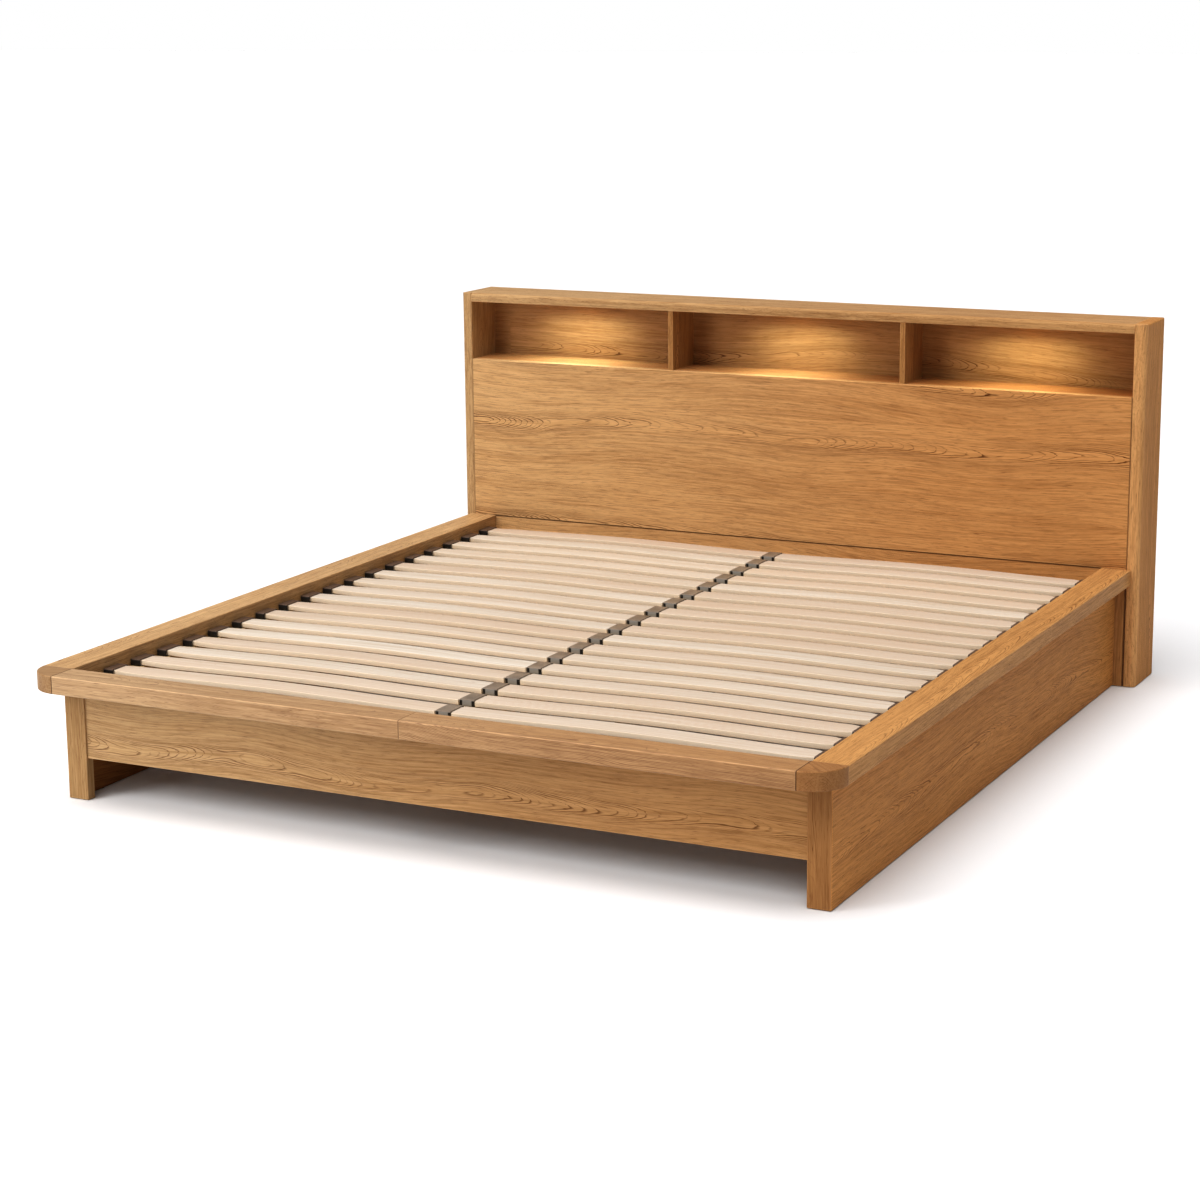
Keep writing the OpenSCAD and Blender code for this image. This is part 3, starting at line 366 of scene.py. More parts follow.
WOOD, EDGES = wood_figure(), rubbed_and_lit_edges()
ALONG = {"x": Vector((1, 0, 0)), "y": Vector((0, 1, 0)), "z": Vector((0, 0, 1))}
LOG_STEP = 7.3  # metres of log between one board and the next
JOINT_BROWN = tint(62, 34, 14)
OAK = {"light": tint(206, 172, 128), "deep": tint(172, 134, 90), "line": tint(104, 66, 38),
       "figure": 0.8, "pores": 0.9, "flecks": 0.7}
# A darker, redder copy of the oak for the right-hand boards, which face away from the light:
# painted shade.
SHADED_RIGHT_OAK = {**OAK, "light": tint(204, 156, 102), "deep": tint(170, 124, 78),
            "line": tint(104, 60, 28)}


def sawn(tree, place, looks):
    """The wood figure at a place on a piece, with its looks."""
    return put(tree, "ShaderNodeGroup", {"Place": place, **{
        name.replace("_", " ").title(): value for name, value in looks.items()}},
        node_tree=WOOD).outputs


def dress(node, finish):
    """Gives a CAD piece its finish."""
    solids[node].material_slots[0].material = finish


def wooden(node, run, face, place_in_log, palette, turn=0.0, rub_and_highlight=0.25, gloss=0.0, shine=0.08,
           joint=0.0, joint_along=None, joint_side=(0, 0, 0), joint_width=0.0015,
           painted_shade=None, painted_shade_over=("X", -0.9, 0.9), **changes):
    """Dresses a board: its grain follows run, and its broad face lies along run and face.

    The colour is darkened towards another over a stretch of one axis, as painted shade. The changes
    are to the palette.
    """
    low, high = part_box(node)
    middle, half = (low + high) / 2, (high - low) / 2
    along, across = ALONG[run], ALONG[face]
    if turn:
        spin = Matrix.Rotation(radians(turn), 3, along.cross(across))
        along, across = spin @ along, spin @ across
    axes = Matrix((along, across, along.cross(across)))
    finish, tree, body, place = new_finish("wood_" + node)
    laid = put(tree, "ShaderNodeMapping", {
        "Vector": place, "Rotation": axes.to_euler(),
        "Location": Vector((place_in_log * LOG_STEP, 0, 0)) - axes @ middle})
    looks = {**palette, **changes}
    wood = sawn(tree, laid.outputs[0], looks)
    rub = put(tree, "ShaderNodeGroup", {
        "Place": place, "Middle": middle, "Half": half, "Joint Along": ALONG[joint_along or run],
        "Joint Side": joint_side, "Joint Width": joint_width}, node_tree=EDGES)
    # Paler edges: rubbed wear, and a painted highlight where the edges catch the light.
    rubbed_and_lit = calc(tree, "MULTIPLY", rub.outputs["Mask"], rub_and_highlight)
    shade = blend(tree, rubbed_and_lit, wood["Color"], toned(looks["light"], 1.35, 0.03))
    # Painted shade: the colour is darkened along one axis, as if less light reached that part of
    # the board.
    if painted_shade:
        axis, start, end = painted_shade_over
        shade = blend(tree, ramp(tree, split(tree, place)[axis], start, end), shade,
                      (*painted_shade, 1), "MULTIPLY")
    shade = blend(tree, calc(tree, "MULTIPLY", rub.outputs["Joint"], joint), shade, JOINT_BROWN)
    rough = calc(tree, "SUBTRACT", wood["Roughness"],
                 calc(tree, "MULTIPLY_ADD", rubbed_and_lit, 0.2, gloss))
    feed(tree, body, {
        "Base Color": shade, "Roughness": rough, "Specular IOR Level": shine,
        "Normal": relief(tree, wood["Height"], 0.35, 0.0004)})
    dress(node, finish)


# The left board's inner face is darkened as painted shade, where the inside of the bed lies in
# shadow.
inner_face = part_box("side_board_left")[1].x
wooden("side_board_left", "y", "z", 1, OAK, shine=0.04, stave_width=0.30,
       painted_shade=(0.62, 0.42, 0.25), painted_shade_over=("X", inner_face - 0.006, inner_face - 0.001))
# The right board's own tones, redder still, are painted shade too.
wooden("side_board_right", "y", "z", 2, SHADED_RIGHT_OAK, shine=0.04, stave_width=0.30,
       light=tint(212, 155, 92), deep=tint(178, 124, 68))

# ------------------------------------------------------------------------------ foot
# Two narrow upright oak boards are mitred to the side boards, and a foot rail stands between
# them, a little behind their faces and open below.
wooden("leg_board_left", "z", "x", 3, OAK, light=tint(186, 154, 112), deep=tint(158, 122, 80))
# The right leg board is darker and redder than the left: painted shade.
wooden("leg_board_right", "z", "x", 4, SHADED_RIGHT_OAK,
       light=tint(178, 132, 84), deep=tint(154, 110, 66))
# The rail darkens towards its right end: painted shade.
wooden("foot_rail", "x", "z", 5, OAK, painted_shade=(0.91, 0.76, 0.60), stave_width=0.34,
       light=tint(210, 178, 136), deep=tint(178, 142, 98))

# ------------------------------------------------------------------------------ rim
# A flat frame of solid oak lies on the boards and overhangs them: two long sides, two half
# lengths across the foot, and a turned quarter round at each corner with slanting grain.
# RIM_OAK is a darker, redder copy of the oak for the right rim side: painted shade.
RIM_OAK = {**OAK, "light": tint(204, 157, 102), "deep": tint(172, 126, 78)}
FOOT_OAK = {**OAK, "light": tint(194, 163, 125), "deep": tint(161, 127, 89)}
# The foot halves darken towards the right: painted shade.
for number, (node, run, face, palette, shine) in enumerate((
        ("rim_side_left", "y", "x", OAK, 0.16), ("rim_side_right", "y", "x", RIM_OAK, 0.05),
        ("rim_foot_left", "x", "y", FOOT_OAK, 0.38),
        ("rim_foot_right", "x", "y", FOOT_OAK, 0.38))):
    wooden(node, run, face, 6 + number, palette, joint=0.4, shine=shine, stave_width=0.16,
           painted_shade=(0.91, 0.78, 0.64) if run == "x" else None)
wooden("rim_corner_left", "x", "y", 10, OAK, turn=38, joint=0.6, joint_side=(1, 0, 0),
       joint_width=0.002, light=tint(172, 142, 107), deep=tint(148, 115, 80))
wooden("rim_corner_right", "x", "y", 11, OAK, turn=-38, joint=0.9, joint_side=(-1, 0, 0),
       joint_width=0.002, light=tint(167, 124, 81), deep=tint(145, 102, 61))

# ------------------------------------------------------------------------------ inner frame
# Planed, unfinished softwood that doesn't show from outside: corner posts, the bearers that
# hold the slats' ends, the beam down the middle and its three legs.
PINE = {"light": tint(192, 168, 130), "deep": tint(172, 142, 100), "line": tint(128, 88, 50),
        "ring": 0.004, "figure": 0.4, "pores": 0.1}
for number, (node, run) in enumerate((
        ("corner_post_left", "z"), ("corner_post_right", "z"), ("slat_bearer_left", "y"),
        ("slat_bearer_right", "y"), ("centre_beam", "y"), ("centre_leg_1", "z"),
        ("centre_leg_2", "z"), ("centre_leg_3", "z"))):
    wooden(node, run, "x", 20 + number, PINE, rub_and_highlight=0.15, gloss=-0.15)

# ------------------------------------------------------------------------------ slats
# Nineteen rows of two springy slats, glued up from thin birch layers and bent slightly upwards,
# with rounded edges and a clear lacquer. Their ends sit in plastic holders.
SLAT_ROWS, SLAT_PITCH = 19, 0.1055
SLAT_WIDTH, SLAT_THICK = 0.063, 0.012
SLAT_Y, SLAT_Z = -1.046 + SLAT_WIDTH / 2, 0.276
SLAT_PLIES = 7


def bake(name, tree, settings, start=None):
    """Runs a geometry tree on an empty or given mesh and keeps what it makes as a plain mesh."""
    start = start or bpy.data.meshes.new(name + "_source")
    source = bpy.data.objects.new(name + "_source", start)
    scene.collection.objects.link(source)
    modifier = source.modifiers.new(name, "NODES")
    modifier.node_group = tree
    for item in tree.interface.items_tree:
        if item.item_type == "SOCKET" and item.in_out == "INPUT" and item.name in settings:
            modifier[item.identifier] = settings[item.name]
    evaluated = source.evaluated_get(bpy.context.evaluated_depsgraph_get())
    mesh = bpy.data.meshes.new_from_object(evaluated)
    mesh.name = name
    source.modifiers.remove(modifier)
    bpy.data.objects.remove(source)
    made = bpy.data.objects.new(name, mesh)
    scene.collection.objects.link(made)
    return made


def crisp(piece, angle=35):
    """Smooth shading, but with the real edges kept sharp."""
    piece.data.shade_smooth()
    piece.data.set_sharp_from_angle(angle=radians(angle))
    return piece


def in_rows(tree, given, shape, x, y, z):
    """A shape in each row of the bed, the first at x, y and z, turned about its own height."""
    rows = put(tree, "GeometryNodeMeshLine", {
        "Count": given["Rows"], "Start Location": vector(tree, x, y, z),
        "Offset": vector(tree, y=given["Pitch"])}, mode="OFFSET")
    turned = put(tree, "FunctionNodeEulerToRotation", {0: vector(tree, z=given["Turn"])})
    return put(tree, "GeometryNodeInstanceOnPoints", {
        "Points": rows.outputs[0], "Instance": shape, "Rotation": turned.outputs[0]}).outputs[0]


def hand_out(tree, given, result, shapes):
    """Makes the copies real, gives them the finish and ends the tree."""
    real = put(tree, "GeometryNodeRealizeInstances", {"Geometry": shapes})
    feed(tree, result, {"Geometry": put(tree, "GeometryNodeSetMaterial", {
        "Geometry": real.outputs[0], "Material": given["Finish"]}).outputs[0]})


def slat_base():
    """A row of bent slats to one side of the middle, each with its own luck number."""
    tree, given, result = new_group("slat_base", "GeometryNodeTree", {
        "Rows": SLAT_ROWS, "Pitch": SLAT_PITCH, "First": SLAT_Y, "Height": SLAT_Z,
        "Inner End": 0.003, "Cap Mouth": 0.018, "Shoulder": 0.020, "Shoulder Length": 0.0012,
        "Taper Start": 0.807, "Holder Mouth": 0.877, "Outer End": 0.900, "Width": SLAT_WIDTH,
        "End Width": 0.048, "Thickness": SLAT_THICK, "Edge": 0.0013, "Crown": 0.005,
        "Rings": 44, "Turn": 0.0, "Seed": 4, "Finish": "Material"}, {"Geometry": "Geometry"})

    # Rings along the slat: one at its end in the cap, one at its shoulder, then even steps as far
    # as the holder's mouth, and one at its other end
    ring = put(tree, "GeometryNodeInputIndex").outputs[0]
    last = calc(tree, "SUBTRACT", given["Rings"], 1.0)
    wide = calc(tree, "ADD", given["Shoulder"], given["Shoulder Length"])
    reach = put(tree, "ShaderNodeMapRange", {
        0: ring, 1: 2.0, 2: calc(tree, "SUBTRACT", last, 1.0), 3: wide,
        4: given["Holder Mouth"]}).outputs[0]
    for test, limit, usual, moved in (
            ("LESS_THAN", 1.5, wide, given["Shoulder"]),
            ("LESS_THAN", 0.5, given["Shoulder"], given["Inner End"]),
            ("GREATER_THAN", calc(tree, "SUBTRACT", last, 0.5), given["Holder Mouth"],
             given["Outer End"])):
        reach = calc(tree, "MULTIPLY_ADD", calc(tree, test, ring, limit),
                     calc(tree, "SUBTRACT", moved, usual), reach)
    share = calc(tree, "DIVIDE", calc(tree, "SUBTRACT", reach, given["Cap Mouth"]),
                 calc(tree, "SUBTRACT", given["Holder Mouth"], given["Cap Mouth"]), clamp=True)
    bow = calc(tree, "SINE", calc(tree, "MULTIPLY", share, pi))
    bow = calc(tree, "MULTIPLY", calc(tree, "MULTIPLY", bow, bow), given["Crown"])
    line = put(tree, "GeometryNodeResampleCurve", {
        "Curve": put(tree, "GeometryNodeCurvePrimitiveLine").outputs[0],
        "Count": given["Rings"]})
    bent = put(tree, "GeometryNodeSetPosition", {
        "Geometry": line.outputs[0], "Position": vector(tree, reach, z=bow)})
    bent = put(tree, "GeometryNodeSetCurveNormal", {"Curve": bent.outputs[0]}, mode="Z_UP")

    # A rounded section follows that line, narrow in the cap and tapering towards the holder
    x, y, z = split(tree, put(tree, "GeometryNodeInputPosition").outputs[0])
    outline = put(tree, "GeometryNodeCurvePrimitiveQuadrilateral", {
        "Width": given["Width"], "Height": given["Thickness"]})
    outline = put(tree, "GeometryNodeFilletCurve", {
        "Curve": outline.outputs[0], "Count": 3, "Radius": given["Edge"]}, mode="POLY")
    outline = put(tree, "GeometryNodeStoreNamedAttribute", {
        "Geometry": outline.outputs[0], "Name": "layer",
        "Value": calc(tree, "DIVIDE", y, given["Thickness"])},
        data_type="FLOAT", domain="POINT")
    slat = put(tree, "GeometryNodeCurveToMesh", {
        "Curve": bent.outputs[0], "Profile Curve": outline.outputs[0], "Fill Caps": True})
    past = calc(tree, "GREATER_THAN", x, calc(tree, "SUBTRACT", wide, 0.0003))
    tapered = put(tree, "ShaderNodeMapRange", {
        0: x, 1: given["Taper Start"], 2: given["Holder Mouth"], 3: 1.0, 4: 0.0}).outputs[0]
    end_share = calc(tree, "DIVIDE", given["End Width"], given["Width"])
    girth = calc(tree, "MULTIPLY_ADD", calc(tree, "MULTIPLY", past, tapered),
                 calc(tree, "SUBTRACT", 1.0, end_share), end_share)
    slat = put(tree, "GeometryNodeSetPosition", {
        "Geometry": slat.outputs[0],
        "Position": vector(tree, x, calc(tree, "MULTIPLY", y, girth), z)})

    lift = calc(tree, "MULTIPLY_ADD", given["Thickness"], 0.5, given["Height"])
    luck = put(tree, "FunctionNodeRandomValue", {"Seed": given["Seed"]}, data_type="FLOAT")
    laid = put(tree, "GeometryNodeStoreNamedAttribute", {
        "Geometry": in_rows(tree, given, slat.outputs[0], 0.0, given["First"], lift),
        "Name": "slat_luck", "Value": luck.outputs[1]}, data_type="FLOAT", domain="INSTANCE")
    hand_out(tree, given, result, laid.outputs[0])
    return tree


def birch():
    """Pale birch: long faint streaks, a tone for each slat, glue lines along its edges, and its
    narrow sides painted paler as painted light.
    """
    finish, tree, body, place = new_finish("slat_birch")
    luck = put(tree, "ShaderNodeAttribute", attribute_name="slat_luck").outputs["Fac"]
    shift = vector(tree, calc(tree, "MULTIPLY", luck, 43.0), -SLAT_Y)
    own = put(tree, "ShaderNodeVectorMath", {0: place, 1: shift}).outputs[0]
    wood = sawn(tree, own, {
        "light": tint(211, 203, 192), "deep": tint(192, 177, 159), "line": tint(160, 124, 92),
        "ring": 0.0030, "wander": 0.05, "figure": 0.3, "pores": 0.2, "flecks": 0.7,
        "fleck_count": 3.0, "stave_width": SLAT_PITCH, "stave_length": 90.0})
    warmth = calc(tree, "MULTIPLY", chance(tree, calc(tree, "MULTIPLY", luck, 91.0)), 0.6)
    warm = blend(tree, warmth, wood["Color"], tint(192, 166, 142))
    layer = put(tree, "ShaderNodeAttribute", attribute_name="layer").outputs["Fac"]
    ply = calc(tree, "FRACT", calc(tree, "MULTIPLY", layer, SLAT_PLIES))
    side = ramp(tree, calc(tree, "ABSOLUTE", layer), 0.46, 0.495, 1.0, 0.0)
    # Painted light: the slats' narrow sides are paled, standing in for light that doesn't reach
    # them.
    painted_lit_sides = blend(tree, calc(tree, "MULTIPLY", side, 0.85), warm, tint(230, 214, 191))
    glue = calc(tree, "MULTIPLY", ramp(tree, ply, 0.0, 0.12, 1.0, 0.0), side)
    shade = blend(tree, calc(tree, "MULTIPLY", glue, 0.15), painted_lit_sides, tint(158, 126, 92))
    feed(tree, body, {
        "Base Color": shade, "Roughness": calc(tree, "ADD", wood["Roughness"], 0.12),
        "Specular IOR Level": 0.12, "Normal": relief(tree, wood["Height"], 0.2, 0.0003)})
    return finish


SLATS, BIRCH = slat_base(), birch()
for side, settings in (
        ("left", {"Turn": pi, "Seed": 4}),
        ("right", {"Taper Start": 0.846, "Holder Mouth": 0.866, "Seed": 9})):
    slats = crisp(bake("slats_row_" + side, SLATS, {**settings, "Finish": BIRCH}), 50)
    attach(slats, "bed")
    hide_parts("slats_" + side)

# ------------------------------------------------------------------------------ slat holders
# Moulded plastic pockets: black ones pegged into the bearers at the slats' outer ends, and
# brownish grey double ones pegged into the centre beam, where two slats meet.
POCKET_Z = 0.2822
HALF_WIDE, HALF_HIGH, SKIN = 0.030, 0.0082, 0.002
ROUND, BEVEL, LIP, LIP_ROUND = 0.0026, 0.0006, 0.0008, 0.001
HALF_WALL, MOUTH_LONG, CHEEK_IN = 0.002, 0.0062, 0.0014


def section(x, half_y, half_z, radius, cut=0.0):
    """A rounded rectangle of points across X; cut draws its cheeks in, below the roof."""
    points = []
    for corner in range(4):
        middle_y = (half_y - radius) * (1 if corner in (0, 3) else -1)
        middle_z = (half_z - radius) * (1 if corner in (0, 1) else -1)
        for bit in range(4):
            angle = pi / 2 * (corner + bit / 3)
            y, z = middle_y + radius * cos(angle), middle_z + radius * sin(angle)
            low = 0.0 if z > half_z - 1.5 * radius else cut
            points.append((x, y - low if y > 0 else y + low, z))
    return points


def closed_shell(name, loops):
    """An object of faces between neighbouring loops of points, closed at both ends."""
    bm = bmesh.new()
    loops = [[bm.verts.new(point) for point in loop] for loop in loops]
    for a, b in zip(loops, loops[1:]):
        for i in range(len(a)):
            j = (i + 1) % len(a)
            bm.faces.new((a[i], a[j], b[j], b[i]))
    bm.faces.new(list(reversed(loops[0])))
    bm.faces.new(loops[-1])
    bmesh.ops.recalc_face_normals(bm, faces=bm.faces)
    mesh = bpy.data.meshes.new(name)
    bm.to_mesh(mesh)
    bm.free()
    return bpy.data.objects.new(name, mesh)


def pocket(name, reach, two_sided):
    """One holder about its own middle: its mouth faces -X, and +X too if it is two-sided."""
    inner = (HALF_WIDE - SKIN, HALF_HIGH - SKIN, BEVEL)
    mouth = (HALF_WIDE - SKIN + BEVEL, HALF_HIGH - SKIN + BEVEL, LIP_ROUND)
    outer = (HALF_WIDE, HALF_HIGH, ROUND)
    if two_sided:
        half = [
            (HALF_WALL, *inner), (reach - LIP, *inner), (reach, *mouth),
            (reach, HALF_WIDE, HALF_HIGH - BEVEL, ROUND, CHEEK_IN),
            (reach - BEVEL, *outer, CHEEK_IN), (reach - MOUTH_LONG, *outer, CHEEK_IN),
            (reach - MOUTH_LONG, *outer)]
        rings = [(-x, *rest) for x, *rest in half] + half[::-1]
    else:
        rings = [
            (reach - SKIN, *inner), (LIP - reach, *inner), (-reach, *mouth),
            (-reach, HALF_WIDE - BEVEL, HALF_HIGH - BEVEL, ROUND), (BEVEL - reach, *outer),
            (reach - 2 * BEVEL, *outer),
            (reach, HALF_WIDE - 2 * BEVEL, HALF_HIGH - 2 * BEVEL, ROUND)]
    return closed_shell(name, [section(*ring) for ring in rings])


def pegged_holders():
    """A shape on each row of one line, turned to face the middle, with a peg below it."""
    tree, given, result = new_group("pegged_holders", "GeometryNodeTree", {
        "Shape": "Object", "Rows": SLAT_ROWS, "Pitch": SLAT_PITCH, "First": SLAT_Y,
        "Middle": 0.0, "Turn": 0.0, "Height": POCKET_Z, "Peg Middle": 0.0, "Peg Shift": 0.016,
        "Peg Radius": 0.004, "Peg Length": 0.012, "Peg Top": 0.2745, "Finish": "Material",
    }, {"Geometry": "Geometry"})
    shape = put(tree, "GeometryNodeObjectInfo", {"Object": given["Shape"]})
    peg = put(tree, "GeometryNodeMeshCylinder", {
        "Vertices": 20, "Radius": given["Peg Radius"], "Depth": given["Peg Length"]})
    peg_y = calc(tree, "ADD", given["First"], given["Peg Shift"])
    peg_z = calc(tree, "MULTIPLY_ADD", given["Peg Length"], -0.5, given["Peg Top"])
    both = put(tree, "GeometryNodeJoinGeometry")
    for mesh, x, y, z in (
            (shape.outputs["Geometry"], given["Middle"], given["First"], given["Height"]),
            (peg.outputs[0], given["Peg Middle"], peg_y, peg_z)):
        tree.links.new(in_rows(tree, given, mesh, x, y, z), both.inputs[0])
    hand_out(tree, given, result, both.outputs[0])
    return tree


def moulded(name, colour, grain=900.0, depth=0.00012, rough=0.5, mottle=0.12, paint=None):
    """Moulded plastic with a fine spark-eroded skin, faint flow marks and dulled patches."""
    finish, tree, body, place = new_finish(name)
    flow = cloud(tree, place, (26.0, 26.0, 60.0), 3.0)
    fine = cloud(tree, place, (grain, grain, grain), 2.0)
    shade = blend(tree, ramp(tree, flow, 0.25, 0.75), toned(colour, 1 - 2 * mottle),
                  toned(colour, 1 + 2 * mottle, 0.004))
    if paint:
        shade = paint(tree, place, shade)
    feed(tree, body, {
        "Base Color": shade, "Roughness": calc(tree, "MULTIPLY_ADD", fine, 0.2, rough - 0.1),
        "Normal": relief(tree, fine, 0.5, depth)})
    return finish


def end_roof_reflection(tree, place, shade):
    """Brown on the roof of a black pocket: a painted reflection of the oak beside it."""
    roof = ramp(tree, split(tree, place)["Z"], POCKET_Z + 0.0050, POCKET_Z + 0.0076)
    return blend(tree, roof, shade, tint(92, 70, 54))


def cap_painted_light(tree, place, shade):
    """A brownish roof and paler grey cheeks, painted shade and reflection of the oak against lit
    cheeks; black by the two mouths, painted shadow.
    """
    apart = split(tree, place)
    far, height = calc(tree, "ABSOLUTE", apart["X"]), apart["Z"]
    # Painted light: paler grey on the cheeks, which face the light, under the darker roof.
    cheek = ramp(tree, height, POCKET_Z + 0.0045, POCKET_Z + 0.0072, 1.0, 0.0)
    shade = blend(tree, cheek, shade, tint(142, 138, 132))
    # Painted shadow: black by both mouths, where the slats go in.
    mouth = calc(tree, "MULTIPLY", ramp(tree, far, 0.0114, 0.0120),
                 ramp(tree, height, POCKET_Z + 0.0050, POCKET_Z + 0.0058, 1.0, 0.0))
    return blend(tree, mouth, shade, tint(24, 21, 20))


HOLDERS = pegged_holders()
BLACK = moulded("holder_black", tint(34, 30, 28), rough=0.5, paint=end_roof_reflection)
GREY = moulded("cap_grey", tint(126, 110, 94), rough=0.42, paint=cap_painted_light)
for name, node, slot, settings in (
        ("slat_ends_left", "slat_holders_left", "holder_plastic", {
            "Shape": pocket("short_pocket", 0.013, False), "Middle": -0.890,
            "Turn": pi, "Peg Middle": -0.890, "Finish": BLACK}),
        ("slat_ends_right", "slat_holders_right", "holder_plastic", {
            "Shape": pocket("long_pocket", 0.0185, False), "Middle": 0.8845,
            "Peg Middle": 0.890, "Finish": BLACK}),
        ("slat_middle_caps", "slat_caps", "cap_plastic", {
            "Shape": pocket("double_pocket", 0.018, True), "Finish": GREY})):
    row = crisp(bake(name, HOLDERS, settings))
    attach(row, "bed")
    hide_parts(node)

# ------------------------------------------------------------------------------ headboard
# A shallow oak cabinet: two tall sides with a rounded front edge, a top between them, a niche
# floor with two dividers, a large panel below with a rail under it, a back panel, and narrow
# posts in front. A softwood stiffener and a stretcher are hidden inside.
# PANEL_OAK is a paler copy of the oak: painted light on the front panel and head rail, which keep
# its light and deep colours. PANEL_PAINTED_SHADE darkens them towards the right as painted shade.
PANEL_OAK = {**OAK, "light": tint(226, 187, 137), "deep": tint(196, 153, 103), "figure": 1.1}
PANEL_PAINTED_SHADE = (0.91, 0.75, 0.59)
wooden("headboard_side_left", "z", "y", 30, OAK, stave_width=0.3)
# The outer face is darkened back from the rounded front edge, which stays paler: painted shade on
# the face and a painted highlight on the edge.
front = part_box("headboard_side_right")[0].y
wooden("headboard_side_right", "z", "y", 31, SHADED_RIGHT_OAK, shine=0.02, stave_width=0.3,
       painted_shade=(0.84, 0.74, 0.58), painted_shade_over=("Y", front + 0.006, front + 0.024),
       light=tint(222, 174, 120), deep=tint(188, 142, 93))
# The top, the niche floor and the back panel darken towards the right too: painted shade.
wooden("headboard_top", "x", "y", 32, OAK, painted_shade=(0.94, 0.84, 0.72), stave_width=0.4)
wooden("niche_shelf", "x", "y", 33, PANEL_OAK, painted_shade=(0.70, 0.53, 0.38), stave_width=0.4,
       light=tint(213, 160, 106), deep=tint(184, 131, 81))
for number, side in enumerate(("left", "right")):
    wooden("niche_divider_" + side, "z", "y", 34 + number, PANEL_OAK, stave_width=0.4,
           light=tint(191, 146, 94), deep=tint(164, 118, 70))
wooden("headboard_front_panel", "x", "z", 36, PANEL_OAK, joint=0.45, joint_width=0.003,
       painted_shade=PANEL_PAINTED_SHADE, stave_width=0.235, stave_change=0.015)
wooden("head_rail", "x", "z", 37, PANEL_OAK, joint=0.85, joint_along="z", joint_width=0.004,
       painted_shade=PANEL_PAINTED_SHADE, stave_width=0.4)
wooden("headboard_back_panel", "x", "z", 38, PANEL_OAK, painted_shade=(0.99, 0.92, 0.78),
       light=tint(194, 150, 102), deep=tint(166, 121, 75), stave_width=0.24)
# The right post takes the darker, redder right-hand copy of the oak: painted shade.
for node, number, palette in (
        ("headboard_post_left", 39, OAK), ("headboard_post_right", 40, SHADED_RIGHT_OAK)):
    wooden(node, "z", "x", number, palette, joint=0.8, joint_along="x", joint_width=0.005)
wooden("headboard_stiffener", "z", "y", 41, PINE, rub_and_highlight=0.15, gloss=-0.15)
wooden("headboard_stretcher", "x", "z", 42, PINE, rub_and_highlight=0.15, gloss=-0.15)

# ------------------------------------------------------------------------------ niche lights
# A small round lamp under the top board in each niche: a white moulded housing, a board of
# warm diodes and a frosted cover that shines down on the niche floor. A driver box at the
# back feeds them through black wires, which are held by clips.
LAMP_X, LAMP_Y, LAMP_Z = (-0.66125, 0.0, 0.66125), 1.030, 0.9325
for number, x in enumerate(LAMP_X):
    hang_lamp("niche_lamp_%d" % (number + 1), "AREA", 0.52, (x, LAMP_Y, LAMP_Z),
              shape="ELLIPSE", size=0.30, size_y=0.05, spread=radians(124),
              color=tint(226, 255, 255)[:3])


def frosted():
    """The lit cover: brightest over the diodes in its middle, softer towards the rim."""
    finish, tree, body, place = new_finish("lamp_frosted")
    x, y = split(tree, place)[:2]
    side = calc(tree, "ABSOLUTE", x)
    side = calc(tree, "MINIMUM", side,
                calc(tree, "ABSOLUTE", calc(tree, "SUBTRACT", side, LAMP_X[2])))
    ahead = calc(tree, "SUBTRACT", y, LAMP_Y)
    far = calc(tree, "SQRT", calc(tree, "ADD", calc(tree, "MULTIPLY", side, side),
                                  calc(tree, "MULTIPLY", ahead, ahead)))
    grainy = cloud(tree, place, (700.0, 700.0, 700.0), 2.0)
    warm = blend(tree, ramp(tree, far, 0.004, 0.028), (1.0, 0.86, 0.60, 1), (1.0, 0.62, 0.30, 1))
    feed(tree, body, {
        "Emission Color": warm, "Emission Strength": 4.0,
        "Base Color": blend(tree, grainy, tint(250, 240, 222), tint(240, 226, 204)),
        "Roughness": calc(tree, "MULTIPLY_ADD", grainy, 0.2, 0.4),
        "Normal": relief(tree, grainy, 0.3, 0.0001)})
    return finish


dress("light_diffusers", frosted())
for node, name, colour, grain, depth, rough, mottle in (
        ("light_bodies", "lamp_white", (238, 236, 228), 1200.0, 0.00006, 0.4, 0.02),
        ("light_driver", "driver_white", (226, 224, 216), 900.0, 0.0001, 0.5, 0.03),
        ("light_boards", "board_white", (214, 220, 206), 500.0, 0.0001, 0.35, 0.05),
        ("light_wires", "wire_black", (44, 42, 41), 600.0, 0.0001, 0.55, 0.1),
        ("wire_clips", "clip_white", (232, 230, 222), 900.0, 0.0001, 0.45, 0.03)):
    dress(node, moulded(name, tint(*colour), grain, depth, rough, mottle))

# ------------------------------------------------------------------------------ hardware
# Zinc-plated steel plates, stirrups, angle brackets and cross-head screws, brass inserts with
# black screw-in feet, and wooden dowels. The zinc shows its crystals as soft grey patches.
CROSS_ARMS, HEAD_SIDES = 4, 16
SAME_SPOT, SAME_END = 0.00001, 0.0001


def plated(name, colour, rough, crystal):
    """Plated metal: patches of slightly different grey, fine rubbing marks."""
    finish, tree, body, place = new_finish(name)
    cells = put(tree, "ShaderNodeTexVoronoi", {"Vector": place, "Scale": crystal})
    spangle = split(tree, cells.outputs["Color"])[0]
    rubbed = cloud(tree, place, (300.0, 300.0, 40.0), 3.0, 0.6)
    mixed = calc(tree, "MULTIPLY_ADD", spangle, 0.5, calc(tree, "MULTIPLY", rubbed, 0.5))
    feed(tree, body, {
        "Base Color": blend(tree, mixed, toned(colour, 0.72), colour), "Metallic": 1.0,
        "Roughness": calc(tree, "MULTIPLY_ADD", rubbed, 0.25, rough - 0.1),
        "Normal": relief(tree, rubbed, 0.25, 0.0001)})
    return finish


